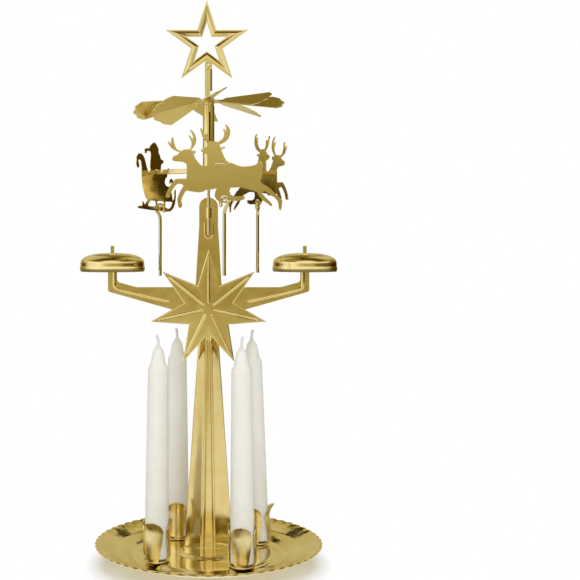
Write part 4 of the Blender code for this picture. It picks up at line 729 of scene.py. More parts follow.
@dataclass(frozen=True)
class Finish:
    """A finish: what a piece's surface is made of and how it was worked."""

    name: str
    slot: Slot
    colour: Colour
    shade: Colour
    roughness: float

    def material(self) -> bpy.types.Material:
        """Give the finish's material, made on its first use.

        Returns:
            The material.
        """
        made = bpy.data.materials.get(self.name)
        if made:
            return made
        made, kit = bare_material(self.name)
        shader = kit.add("BsdfPrincipled", self.dress(kit, kit.place()))
        kit.add("OutputMaterial", {"Surface": shader.outputs[0]})
        return made

    def effect(self, kit: NodeKit, tree: bpy.types.NodeTree, place: Socket,
               **values: float) -> bpy.types.bpy_prop_collection:
        """Place a shared effect with its values in a material and give what it puts out."""
        return kit.add("Group", {"Place": place, **values}, node_tree=tree).outputs

    def dress(self, kit: NodeKit, place: Socket) -> dict[str, object]:
        """Lay out the finish's own nodes."""
        raise NotImplementedError


@dataclass(frozen=True)
class SheetBrass(Finish):
    """Brass-plated sheet, pressed, polished and a little toned."""

    toning: float = 0.45
    wave_size: float = 60.0
    wave_depth: float = 0.00022
    grain: float = 1.0
    ripple: float = 0.05

    def dress(self, kit: NodeKit, place: Socket) -> dict[str, object]:
        """Lay out toned brass with handling haze and pressed waves.

        Args:
            kit: The material's nodes.
            place: The coordinates that they follow.

        Returns:
            What goes into the shader.
        """
        toning = self.effect(kit, EFFECTS.toning(), place, Amount=self.toning)
        handling = self.effect(kit, EFFECTS.handling(), place, Grain=self.grain)
        waves = self.effect(kit, EFFECTS.waves(), place, Size=self.wave_size, Ripple=self.ripple)
        pressed = kit.bump(waves["Height"], 1.0, self.wave_depth)
        return {
            "Base Color": kit.mix(toning["Mask"], self.colour, self.shade),
            "Roughness": kit.span(handling["Haze"], 0.0, 1.0, self.roughness * 0.75,
                                  self.roughness * 1.5),
            "Metallic": 1.0,
            "Normal": kit.bump(handling["Height"], 0.4, 0.000003, pressed)}


@dataclass(frozen=True)
class TurnedBrass(SheetBrass):
    """Brass that was spun on a lathe, with faint rings round its axis and painted shade on its lip."""

    axis: Point2 = (0.0, 0.0)
    ring_pitch: float = 0.00022
    # Painted shade on the lip: the height under which the brass is darkened, the softness of that edge,
    # and the dark colour.
    lip_shade_height: float = 0.1575
    lip_shade_fade: float = 0.0004
    painted_lip_shade: Colour = (0.25, 0.19, 0.07)

    def dress(self, kit: NodeKit, place: Socket) -> dict[str, object]:
        """Add faint turning rings to the brass, and paint shade on the lip.

        Args:
            kit: The material's nodes.
            place: The coordinates that they follow.

        Returns:
            What goes into the shader.
        """
        brass = super().dress(kit, place)
        axis = (-self.axis[0], -self.axis[1], 0.0)
        moved = kit.add("Mapping", {"Vector": place, "Location": axis})
        across, back, rise = kit.parts(moved.outputs[0])
        square = kit.math("ADD", kit.math("MULTIPLY", across, across), kit.math("MULTIPLY", back, back))
        reach = kit.math("ADD", kit.math("SQRT", square), kit.math("MULTIPLY", rise, 0.7))
        rings = kit.math("SINE", kit.math("MULTIPLY", reach, tau / self.ring_pitch))
        # Painted shade: below a set height the bell's lip is mixed towards a dark brown that stands for
        # the dark floor it mirrors.
        lip = kit.span(rise, self.lip_shade_height - self.lip_shade_fade, self.lip_shade_height + self.lip_shade_fade, 1.0, 0.0)
        return {**brass, "Base Color": kit.mix(lip, brass["Base Color"], self.painted_lip_shade),
                "Normal": kit.bump(rings, 0.1, 0.000004, brass["Normal"])}


@dataclass(frozen=True)
class CandleWax(Finish):
    """Smooth moulded wax with a soft bloom."""

    def dress(self, kit: NodeKit, place: Socket) -> dict[str, object]:
        """Lay out soft wax with faint clouds and draw marks.

        Args:
            kit: The material's nodes.
            place: The coordinates that they follow.

        Returns:
            What goes into the shader.
        """
        clouds = kit.noise(place, 110.0, 4.0, 0.55)
        draw = kit.add("Mapping", {"Vector": place, "Scale": (900.0, 900.0, 30.0)})
        return {
            "Base Color": kit.mix(kit.span(clouds, 0.35, 0.7, 0.0, 1.0), self.colour, self.shade),
            "Roughness": kit.span(clouds, 0.3, 0.7, self.roughness * 0.8, self.roughness * 1.2),
            "Subsurface Weight": 0.25,
            "Subsurface Radius": (1.0, 0.8, 0.55),
            "Subsurface Scale": 0.004,
            "Specular IOR Level": 0.45,
            "Normal": kit.bump(kit.noise(draw.outputs[0], 1.0), 0.25, 0.00004)}


@dataclass(frozen=True)
class BraidedCotton(Finish):
    """Plaited cotton wick, stiff with wax."""

    def dress(self, kit: NodeKit, place: Socket) -> dict[str, object]:
        """Lay out the plait as crossing bands of thread.

        Args:
            kit: The material's nodes.
            place: The coordinates that they follow.

        Returns:
            What goes into the shader.
        """
        bands = kit.add("TexWave",
                        {"Vector": place, "Scale": 420.0, "Distortion": 1.2, "Detail": 1.0},
                        wave_type="BANDS", bands_direction="DIAGONAL").outputs["Fac"]
        return {
            "Base Color": kit.mix(bands, self.shade, self.colour),
            "Roughness": kit.span(bands, 0.0, 1.0, self.roughness, self.roughness * 0.85),
            "Normal": kit.bump(bands, 0.8, 0.00012)}


FINE_EDGE = 0.06
FOLD_EDGE = 0.08
CUT_EDGE = 0.1
BEND = 0.2
BELL_SPOT = (53.1, 1.35)
FIGURE_RADIUS = 33.5
FIGURE_ANGLES = (-80.0, 30.0, 150.0)
WHITE = (1.0, 1.0, 1.0)
GOLD = (0.84, 0.7, 0.34)
GOLD_SHADE = (0.77, 0.6, 0.24)
TRAY_BRASS = SheetBrass("tray_brass", Slot.BRASS, GOLD, GOLD_SHADE, 0.1, 0.5, 75.0, 0.00022, ripple=0.25)
PANEL_BRASS = SheetBrass("panel_brass", Slot.BRASS, GOLD, (0.76, 0.56, 0.22), 0.13, 0.8, 45.0, 0.00012)
STAR_BRASS = SheetBrass("star_brass", Slot.BRASS, GOLD, (0.74, 0.55, 0.2), 0.13, 0.7, 70.0, 0.00013)
# Painted light: the petals' brass is paler than the rest, standing for the pale surroundings that the
# petals mirror.
LIGHTENED_CLIP_BRASS = SheetBrass("clip_brass", Slot.BRASS, (0.9, 0.77, 0.43), GOLD, 0.26, 0.4, 110.0, 0.00012)
ROTOR_BRASS = SheetBrass("rotor_brass", Slot.BRASS, GOLD, GOLD_SHADE, 0.13, 0.35, 60.0, 0.00005)
FIGURE_BRASS = SheetBrass("figure_brass", Slot.BRASS, GOLD, GOLD_SHADE, 0.12, 0.3, 40.0, 0.00003)
WIRE_BRASS = SheetBrass("wire_brass", Slot.BRASS, (0.76, 0.63, 0.33), (0.58, 0.46, 0.2), 0.08, 0.4,
                        60.0, 0.000001, grain=0.3)
FITTING_BRASS = SheetBrass("fitting_brass", Slot.BRASS, GOLD, GOLD_SHADE, 0.13, 0.3, 80.0, 0.00001)
# Each bell's turned brass carries the painted shade on its lip.
BELL_BRASS = {hand: TurnedBrass("bell_brass_" + hand.name.lower(), Slot.BRASS, GOLD, GOLD_SHADE, 0.17,
                                0.4, 60.0, 0.00008, axis=(hand.value * BELL_SPOT[0] * MILLIMETRE,
                                                              BELL_SPOT[1] * MILLIMETRE))
              for hand in Hand}
NEEDLE_STEEL = SheetBrass("needle_steel", Slot.STEEL, (0.76, 0.69, 0.5), (0.6, 0.52, 0.34), 0.18,
                          0.3, 200.0, 0.000001, grain=0.3)
WAX = CandleWax("candle_wax", Slot.WAX, (0.89, 0.88, 0.81), (0.86, 0.84, 0.76), 0.42)
COTTON = BraidedCotton("wick_cotton", Slot.COTTON, (0.88, 0.87, 0.83), (0.74, 0.73, 0.69), 0.8)


@dataclass
class DripTray:
    """The dished tray with its boss, foot bead and scalloped rim."""

    radius: float = 62.5
    sheet: float = 0.6
    scallops: int = 60
    scallop_depth: float = 0.8
    scallop_reach: float = 3.4
    crimp: float = 0.5
    sides: int = 720
    profile: Line = (
        (0.0, 2.8), (8.0, 2.8), (13.2, 2.8), (13.9, 2.86), (14.5, 3.01), (15.1, 3.01), (15.7, 2.74),
        (16.2, 2.3), (16.7, 1.93), (17.3, 1.8), (26.0, 1.8), (33.6, 1.8), (35.0, 1.7), (36.2, 1.42),
        (37.2, 1.05), (38.2, 0.75), (39.2, 0.62), (40.6, 0.6), (41.8, 0.76), (43.0, 1.2), (44.4, 1.75),
        (46.0, 2.32), (48.0, 2.88), (50.5, 3.45), (51.4, 3.7), (52.2, 4.02), (53.0, 4.38), (55.5, 5.47),
        (58.5, 6.7), (60.6, 7.56), (61.1, 7.74), (61.6, 7.76), (62.1, 7.62), (62.5, 7.4))

    def rim(self, place: Vector) -> Vector:
        """Draw a place near the rim in between two scallops.

        Args:
            place: A place of the plain round dish.

        Returns:
            Its place in the scalloped dish.
        """
        reach = hypot(place.x, place.y)
        share = (reach - self.radius + self.scallop_reach) / self.scallop_reach
        if share <= 0:
            return place
        turn = atan2(place.y, place.x) % tau / tau * self.scallops
        cut = self.scallop_depth * (1 - sin(pi * (turn % 1.0)))
        crimp = self.crimp * (1 - sin(pi * (turn % 1.0))) * share
        factor = (reach - cut * share ** 2) / reach
        return Vector((place.x * factor, place.y * factor, place.z - crimp))

    def build(self) -> None:
        """Turn the dish, crimp its rim and give it its thickness."""
        piece = BENCH.turned("tray_dish", self.profile, self.sides)
        BENCH.open()
        BENCH.reshape(piece, self.rim)
        BENCH.clean()
        BENCH.face(piece, (0, 0, 1))
        BENCH.wall(piece, self.sheet, -1.0)
        BENCH.finish(piece, TRAY_BRASS, Body.BASE.value, "tray", 40.0)


@dataclass
class FlutedPost:
    """The tapered post, pressed with two flutes and open at its back."""

    face: float = 1.9
    foot: float = 3.1
    top: float = 142.0
    flat_end: float = 121.0
    flute_start: float = 117.0
    groove: float = 0.3
    lip: float = 0.9
    sheet: float = 0.5
    start_sizes: tuple[float, ...] = (5.7, 1.2, 0.7, 0.8, 2.8)
    foot_sizes: tuple[float, ...] = (13.4, 3.5, 1.25, 1.2, 5.0)
    top_half: float = 4.8
    tab_size: Point2 = (4.0, 0.4)
    tab_levels: Point2 = (0.8, 4.5)
    wing: tuple[Point2, Point2] = ((4.75, 0.0), (12.5, 3.75))

    def section(self, height: float) -> list[Point2]:
        """Draw the post's front face across one level.

        Args:
            height: The level.

        Returns:
            Points from left to right as (X, Y).
        """
        down = (self.flute_start - height) / (self.flute_start - self.foot)
        down = min(max(down, 0.0), 1.0)
        sizes = [a + (b - a) * down for a, b in zip(self.start_sizes, self.foot_sizes)]
        half, offset, breadth, depth, wing = sizes
        groove = self.groove
        fade = min(max((height - self.flute_start) / (self.flat_end - self.flute_start), 0.0), 1.0)
        fade = fade * fade * (3 - 2 * fade)
        half += (self.top_half - half) * fade
        depth, wing, groove = (value * (1 - fade) for value in (depth, wing, groove))
        lip = self.lip
        right = [(offset - breadth, groove / 2), (offset - breadth * 0.6, -depth * 0.8),
                 (offset, -depth), (offset + breadth * 0.6, -depth * 0.8), (offset + breadth, 0.0),
                 (half - lip, wing * 0.75), (half, wing)]
        left = [(-x, y) for x, y in reversed(right)]
        return [(x, self.face + y) for x, y in left + [(0.0, groove)] + right]

    def press(self, across: float, along: float) -> Point3:
        """Press one place of the blank into the post.

        Args:
            across: From 0 at the left edge to 1 at the right.
            along: From 0 at the foot to 1 at the top.

        Returns:
            The pressed place.
        """
        height = self.foot + (self.top - self.foot) * along
        line = smooth_line(self.section(height), 8)
        where = across * (len(line) - 1)
        first = min(int(where), len(line) - 2)
        share = where - first
        x = line[first][0] * (1 - share) + line[first + 1][0] * share
        y = line[first][1] * (1 - share) + line[first + 1][1] * share
        return (x, y, height)

    def build(self) -> None:
        """Press the post, thicken it backwards and set its two tabs."""
        piece = BENCH.sheet("post_shell", 113, 140, self.press)
        BENCH.face(piece, (0, -1, 0))
        BENCH.wall(piece, self.sheet, -1.0)
        inner, outer = (Vector((x, self.face + y)) for x, y in self.wing)
        way = (outer - inner).normalized()
        middle = (inner + outer) / 2 + Vector((-way.y, way.x)) * self.sheet / 2
        half, depth = self.tab_size[0] / 2, self.tab_size[1]
        foot, top = self.tab_levels
        outline = [(-half, foot), (half, foot), (half, top), (-half, top)]
        tabs = []
        for hand in Hand:
            tab = BENCH.plate("post_tab", [outline], -depth / 2, depth)
            BENCH.soften(tab, FOLD_EDGE)
            turn = Matrix.Rotation(hand.value * atan2(way.y, way.x), 4, "Z")
            BENCH.place(tab, Matrix.Translation((hand.value * middle.x, middle.y, 0)) @ turn)
            tabs.append(tab)
        BENCH.finish(BENCH.join([piece, *tabs]), PANEL_BRASS, Body.BASE.value, "post", 50.0)


@dataclass
class PressedBead:
    """A rounded bead pressed along a line of the sheet."""

    radius: float
    sunk: float = 0.12
    ends: Line = ((0.02, 0.28), (0.12, 0.52), (0.35, 0.8), (0.7, 0.96), (1.1, 1.0))

    def shape(self, name: str, points: Sequence[Point3]) -> Piece:
        """Make the bead along points on the sheet's face, with rounded ends.

        Args:
            name: The bead's name.
            points: Its line, from one end to the other.

        Returns:
            The bead, which stands out by most of its radius.
        """
        run = [Vector(point) for point in points]
        start = (run[1] - run[0]).normalized() * self.radius
        end = (run[-2] - run[-1]).normalized() * self.radius
        line = [run[0] + start * along for along, _ in self.ends] + run[1:-1]
        line += [run[-1] + end * along for along, _ in reversed(self.ends)]
        shares = [size for _, size in self.ends] + [1.0] * (len(run) - 2)
        shares += [size for _, size in reversed(self.ends)]
        lifted = [(point.x, point.y + self.radius * self.sunk, point.z) for point in line]
        return BENCH.wire(name, lifted, self.radius, shares, 6)


@dataclass
class CrossPanel:
    """The cross piece: a plate with two bell arms, beads, needle bridge and needle seat."""

    front: float = 1.1
    sheet: float = 0.5
    half_width: float = 5.2
    top: float = 196.8
    straight_end: float = 181.5
    arm_top: float = 147.3
    shoulder_half: float = 7.4
    armpit: Line = ((-0.25, 1.6), (0.15, 0.5), (1.1, 0.0))
    under_arm: Line = ((19.8, 134.8), (7.0, 131.3), (5.0, 124.0))
    bell_offset: float = BELL_SPOT[0]
    tab_half: float = 2.5
    tab_fillet: float = 2.4
    slope: float = 10.0
    slope_rise: float = 2.3
    slope_lead: float = 1.5
    bead_inset: float = 1.1
    tongue_half: float = 1.0
    shoulder: float = 164.8
    tongue_top: float = 170.1
    corner: float = 144.6
    corner_radius: float = 1.25
    strap_level: float = 185.2
    strap_height: float = 6.0
    strap_depth: float = 1.5
    strap_radii: Point2 = (1.6, 1.1)
    seat_half: float = 2.1
    seat_levels: Point2 = (176.4, 183.2)
    bead: PressedBead = field(default_factory=lambda: PressedBead(1.1))
    seat_bead: PressedBead = field(default_factory=lambda: PressedBead(0.6))

    def half_outline(self) -> list[Point2]:
        """Draw the right half of the outline from the top of the plate to its foot.

        Returns:
            The points as (X, Z).
        """
        points = arc((0.0, self.top - self.half_width), self.half_width, 90, 0, 16)
        points += [(self.half_width, self.straight_end)]
        points += [(self.shoulder_half + out, self.arm_top + up) for out, up in self.armpit]
        inner = self.bell_offset - self.tab_half
        outer = self.bell_offset + self.tab_half
        slope_foot, slope_top = inner - self.slope - self.slope_lead, inner - self.tab_fillet
        crest = self.arm_top + self.slope_rise
        points += [(slope_foot, self.arm_top), (slope_foot + self.slope_lead, self.arm_top + 0.2),
                   (slope_top, crest)]
        points += [(slope_top + self.tab_fillet * sin(radians(turn)),
                    crest + self.tab_fillet * (1 - cos(radians(turn))))
                   for turn in (20, 38, 56, 72, 84, 90)]
        left, right = self.bell_offset - self.tongue_half, self.bell_offset + self.tongue_half
        points += [(inner, self.shoulder), (left, self.shoulder), (left, self.tongue_top),
                   (right, self.tongue_top), (right, self.shoulder), (outer, self.shoulder)]
        points += arc((outer - self.corner_radius, self.corner + self.corner_radius),
                      self.corner_radius, 0, -78, 7)
        points += self.under_arm
        return points

    def arm_line(self, hand: Hand) -> list[Point3]:
        """Draw the line of one arm's bead, from the star out and up its tab.

        Args:
            hand: The arm's side.

        Returns:
            The line's points.
        """
        x = self.bell_offset - self.bead_inset
        line = [(21.2, 139.2), (36.0, 142.55), (x - 2.4, 146.0)]
        line += [(x - 1.0, 146.5), (x - 0.25, 147.2), (x - 0.02, 148.1)]
        line += [(x, 150.0), (x, 157.7)]
        return [(hand.value * across, self.front, height) for across, height in line]

    def bridge(self) -> Piece:
        """Push out the strap that holds the needle.

        Returns:
            The strap.
        """
        (outer, inner), depth = self.strap_radii, self.strap_depth
        outline = [(outer, depth)] + arc((0.0, 0.0), outer, 0, -180, 20)
        outline += [(-outer, depth), (-inner, depth)]
        outline += arc((0.0, 0.0), inner, -180, 0, 20) + [(inner, depth)]
        strap = BENCH.plate("needle_bridge", [outline], self.strap_level, self.strap_height, Plane.LEVEL)
        BENCH.soften(strap, 0.12)
        return strap

    def seat(self) -> Piece:
        """Press the U-shaped seat under the needle's foot."""
        half, (low, high) = self.seat_half, self.seat_levels
        line = [(-half, high)] + arc((0.0, low), half, 180, 360, 16) + [(half, high)]
        return self.seat_bead.shape("needle_seat", [(x, self.front, z) for x, z in line])

    def build(self) -> None:
        """Cut the panel and press its beads, strap and seat."""
        half = self.half_outline()
        outline = half + [(-x, z) for x, z in reversed(half) if x > 0.001]
        panel = BENCH.plate("cross_plate", [outline], self.front, self.sheet)
        BENCH.soften(panel, 0.2, 3)
        beads = [self.bead.shape("arm_bead", self.arm_line(hand)) for hand in Hand]
        piece = BENCH.join([panel, *beads, self.bridge(), self.seat()])
        BENCH.finish(piece, PANEL_BRASS, Body.BASE.value, "cross_panel")


@dataclass
class SevenPointStar:
    """The pressed star in front of the post's top."""

    points: int = 7
    centre: float = 135.6
    radius: float = 32.7
    notch: float = 14.0
    front: float = 0.3
    crown: float = 1.4
    sheet: float = 0.5
    bead_start: float = 2.7
    bead_end: float = 28.6
    valley: float = 0.45
    edge_band: float = 0.5
    edge_fall: float = 0.16
    bead_radius: float = 1.1
    top_bead_radius: float = 0.75
    lug_half: float = 1.5
    lug_sheet: float = 0.4
    lug_end: Point2 = (2.95, 3.0)
    lugs: tuple[tuple[float, int], ...] = ((4.0, 1), (-7.0, -1))

    def depth(self, x: float, rise: float) -> float:
        """Give the front face's Y at a place measured from the star's middle.

        Args:
            x: Its way to the right.
            rise: Its way up.

        Returns:
            The Y.
        """
        sector = tau / self.points
        turn = (atan2(x, rise) % sector) - sector / 2
        share = 1 - hypot(x, rise) * cos(turn) / (self.radius * cos(sector / 2))
        return self.front - self.crown * share

    def corner(self, number: int) -> Point3:
        """Give one corner of the star, counted round from the top point.

        Args:
            number: The corner's number, 0 at the top.

        Returns:
            Its place.
        """
        reach = self.radius if number % 2 == 0 else self.notch
        turn = pi * number / self.points
        x, rise = reach * sin(turn), reach * cos(turn)
        sunk = self.valley if number % 2 else 0.0
        return (x, self.depth(x, rise) + sunk, self.centre + rise)

    def pressed(self, spot: Vector) -> Point3:
        """Give the star's place for a place of its disc: the middle, or the nearest corner.

        Args:
            spot: A place of the disc.

        Returns:
            Its place in the star.
        """
        if spot.length < 1.0:
            return (0.0, self.front - self.crown, self.centre)
        turn = atan2(spot.x, spot.y) / pi * self.points
        return self.corner(round(turn) % (2 * self.points))

    def sheet_blank(self) -> Piece:
        """Press the star's plate from a disc: its middle forward, its notches drawn in.

        Returns:
            The plate, in object mode.
        """
        BENCH.deselect()
        bpy.ops.mesh.primitive_circle_add(vertices=2 * self.points, radius=self.radius,
                                          fill_type="TRIFAN")
        piece = BENCH.take("star_plate")
        BENCH.reshape(piece, self.pressed)
        BENCH.outwards()
        self.roll_edge(piece)
        BENCH.shut()
        BENCH.face(piece, (0, -1, 0))
        return piece

    def roll_edge(self, piece: Piece) -> None:
        """Roll the open plate's edge back a little, as the punch does.

        Args:
            piece: The plate, open in edit mode.
        """
        bpy.ops.mesh.select_all(action="SELECT")
        bpy.ops.mesh.inset(thickness=self.edge_band, use_boundary=True)
        bpy.ops.mesh.select_all(action="DESELECT")
        shape = bmesh.from_edit_mesh(piece.data)
        for vert in shape.verts:
            if vert.is_boundary:
                vert.co.y += self.edge_fall
        bmesh.update_edit_mesh(piece.data)

    def lug(self, rise: float, fold: int) -> Piece:
        """Fold one lug from the star's back through the post.

        Args:
            rise: The lug's height over the star's middle.
            fold: Which way its end is folded: 1 up, -1 down.

        Returns:
            The lug.
        """
        back, reach = self.lug_end
        strip = [(self.depth(0.0, rise) + BEND, 0.0), (back - BEND, 0.0), (back, BEND * fold),
                 (back, reach * fold)]
        lug = BENCH.folded("star_lug", [(y, self.centre + rise + z) for y, z in strip],
                           -self.lug_half, self.lug_half, self.lug_sheet)
        BENCH.soften(lug, FINE_EDGE)
        return lug

    def build(self) -> None:
        """Press the star, its beads and its lugs."""
        plate = self.sheet_blank()
        BENCH.wall(plate, self.sheet, -1.0)
        BENCH.soften(plate, 0.14, 2, 60.0)
        parts = [plate]
        middle = (self.bead_start + self.bead_end) / 2
        for number in range(self.points):
            bead = PressedBead(self.bead_radius if number else self.top_bead_radius)
            turn = tau * number / self.points
            line = []
            for reach in (self.bead_start, middle, self.bead_end):
                depth = self.front - self.crown * (1 - reach / self.radius)
                line.append((reach * sin(turn), depth, self.centre + reach * cos(turn)))
            parts.append(bead.shape("star_bead", line))
        parts += [self.lug(rise, fold) for rise, fold in self.lugs]
        BENCH.finish(BENCH.join(parts), STAR_BRASS, Body.BASE.value, "star_panel")


@dataclass
class Bells:
    """The two bells, spun from one profile."""

    offset: float = BELL_SPOT[0]
    depth: float = BELL_SPOT[1]
    radius: float = 18.0
    waist: float = 0.4
    crest: float = 166.2
    dome: float = 6.1
    skirt: float = 4.1
    lip: float = 1.9
    lip_taper: float = 0.6
    wall: float = 0.6
    hole: float = 1.35
    dimple: Point2 = (4.5, 0.5)
    power: float = 2.5
    steps: int = 40
    sides: int = 288

    def curve(self, inset: float) -> list[Point2]:
        """Draw the dome from its hole to its shoulder.

        Args:
            inset: How far the curve is drawn in from the outer face.

        Returns:
            Radius and height of each point.
        """
        reach = self.radius - self.waist - inset
        rise = self.dome - inset
        base = self.crest - self.dome
        start = asin((self.hole / reach) ** (self.power / 2))
        points = []
        for step in range(self.steps + 1):
            turn = start + (pi / 2 - start) * step / self.steps
            along = reach * sin(turn) ** (2 / self.power)
            up = rise * max(cos(turn), 0.0) ** (2 / self.power)
            if along < self.dimple[0]:
                up -= self.dimple[1] * (1 + cos(pi * along / self.dimple[0])) / 2
            points.append((along, base + up))
        return points

    def profile(self) -> list[Point2]:
        """Draw the bell's whole section, closed on itself.

        Returns:
            Radius and height of each point.
        """
        foot = self.crest - self.dome - self.skirt
        skirt = self.radius - self.waist
        outer = self.curve(0.0)
        lip = [(skirt + 0.03, foot + self.lip + 1.2), (skirt + 0.14, foot + self.lip + 0.7),
               (self.radius - 0.08, foot + self.lip + 0.15), (self.radius, foot + self.lip - 0.2),
               (self.radius - 0.1, foot + self.lip - 0.55),
               (self.radius - self.lip_taper + 0.1, foot + 0.2), (self.radius - self.lip_taper, foot),
               (skirt - self.wall + 0.1, foot), (skirt - self.wall, foot + 0.12)]
        inner = list(reversed(self.curve(self.wall)))
        return outer + lip + inner + [outer[0]]

    def build(self) -> None:
        """Spin one bell and hang it and its copy."""
        first = BENCH.turned("bell_left_shell", self.profile(), self.sides)
        twin = BENCH.copy(first, "bell_right_shell")
        for piece, hand, node in ((first, Hand.LEFT, "bell_left"), (twin, Hand.RIGHT, "bell_right")):
            BENCH.place(piece, Matrix.Translation((hand.value * self.offset, self.depth, 0)))
            BENCH.finish(piece, BELL_BRASS[hand], Body.BASE.value, node, 40.0)


@dataclass
class CandlePlace:
    """One of the four places for a candle on the tray."""

    name: str
    angle: float
    lean: float
    phase: float
    flare: float
    circle: float = 33.0
    root: float = 2.6

    @property
    def middle(self) -> Point2:
        """The place's middle on the tray."""
        return polar(self.circle, radians(self.angle))

    def leaned(self, place: Vector) -> Vector:
        """Lean a place with its candle."""
        return Vector((place.x + self.lean * max(place.z - self.root, 0.0), place.y, place.z))


CANDLE_PLACES = (
    CandlePlace("back_right", 32.4, -0.03, -120.0, 3.0),
    CandlePlace("back_left", 122.4, -0.004, -93.0, 1.4),
    CandlePlace("front_left", 212.4, 0.0085, -109.0, 1.6),
    CandlePlace("front_right", 302.4, -0.003, -97.0, 1.0),
)


def lean_mesh(piece: Piece, place: CandlePlace) -> None:
    """Lean a finished shape with the candle of its place."""
    for vert in piece.data.vertices:
        vert.co = place.leaned(vert.co)


@dataclass
class CandleClips:
    """The holders: a disc on a rivet, and three sprung petals round the candle."""

    disc_radius: float = 7.1
    disc_foot: float = 2.1
    sheet: float = 0.5
    petal_radius: float = 6.8
    petal_height: float = 21.5
    half_width: float = 6.2
    petals: int = 3
    swell: float = 0.55
    root_reach: float = 6.55
    rolled: float = 0.4
    bore: float = 1.2
    crowding: float = 1.25
    flare_start: float = 0.7
    flare_length: float = 0.3
    root_length: float = 0.1
    swell_end: float = 0.75
    ridge: float = 0.16
    rivet_profile: Line = (
        (0.0, 3.4), (1.0, 3.38), (1.6, 3.28), (1.9, 3.12), (2.0, 2.9), (0.9, 2.9), (0.9, 0.9),
        (1.8, 0.9), (1.8, 0.62), (1.5, 0.42), (0.0, 0.4))
    widths: Line = (
        (0.0, 0.58), (0.08, 0.6), (0.22, 0.7), (0.44, 0.86), (0.64, 0.98), (0.74, 1.0), (0.83, 0.93),
        (0.9, 0.79), (0.95, 0.58), (0.98, 0.37), (1.0, 0.08))

    def width(self, share: float) -> float:
        """Give a petal's half width at a share of its height.

        Args:
            share: From 0 at the root to 1 at the tip.

        Returns:
            The half width.
        """
        for (low, near), (high, far) in zip(self.widths, self.widths[1:]):
            if share <= high:
                return (near + (far - near) * (share - low) / (high - low)) * self.half_width
        return self.widths[-1][1] * self.half_width

    def petal(self, place: CandlePlace, number: int) -> Piece:
        """Press one petal round the candle.

        Args:
            place: The candle's place.
            number: Which of the petals it is.

        Returns:
            The petal, seated on its disc.
        """
        phase = radians(place.phase) + number * tau / self.petals
        root = self.disc_foot + self.sheet / 2

        def press(across: float, along: float) -> Point3:
            """Wrap the blank's place round the candle and turn its tip out."""
            share = 1 - (1 - along) ** self.crowding
            out = place.flare * (max(share - self.flare_start, 0.0) / self.flare_length) ** 2
            rise = min(share / self.root_length, 1.0)
            rise *= rise * (3 - 2 * rise)
            out += self.swell * max(1 - share / self.swell_end, 0.0) * rise
            out -= (self.petal_radius - self.root_reach) * (1 - rise)
            reach = self.petal_radius + out
            side = (2 * across - 1) * self.width(share) / reach
            bulge = (1 - (2 * across - 1) ** 2) * sin(pi * min(share, 1.0))
            reach += self.ridge * bulge
            x, y = polar(reach, phase + side)
            return (place.middle[0] + x, place.middle[1] + y, root + share * self.petal_height)

        piece = BENCH.sheet("petal", 13, 37, press)
        BENCH.wall(piece, self.sheet)
        BENCH.soften(piece, CUT_EDGE, 1, 60.0)
        lean_mesh(piece, place)
        return piece

    def disc(self, place: CandlePlace) -> Piece:
        """Stamp the disc under a candle.

        Args:
            place: The candle's place.

        Returns:
            The disc.
        """
        top = self.disc_foot + self.sheet
        crown = arc((self.disc_radius - self.rolled, top), self.rolled, 180, -90, 12)
        profile = [(self.bore, top), *crown, (self.disc_radius - self.rolled, self.disc_foot),
                   (self.bore, self.disc_foot), (self.bore, top)]
        return BENCH.turned("clip_disc", profile, 64, place.middle)

    def rivet(self, place: CandlePlace) -> None:
        """Set the rivet under a candle."""
        piece = BENCH.turned("clip_rivet_" + place.name, self.rivet_profile, 32, place.middle)
        BENCH.finish(piece, FITTING_BRASS, Body.BASE.value, "holder_rivet_" + place.name)

    def build(self) -> None:
        """Build the four holders with their rivets."""
        for place in CANDLE_PLACES:
            parts = [self.disc(place)]
            parts += [self.petal(place, number) for number in range(self.petals)]
            parts[0].name = "clip_" + place.name
            piece = BENCH.join(parts)
            BENCH.finish(piece, LIGHTENED_CLIP_BRASS, Body.BASE.value, "holder_" + place.name)
            self.rivet(place)


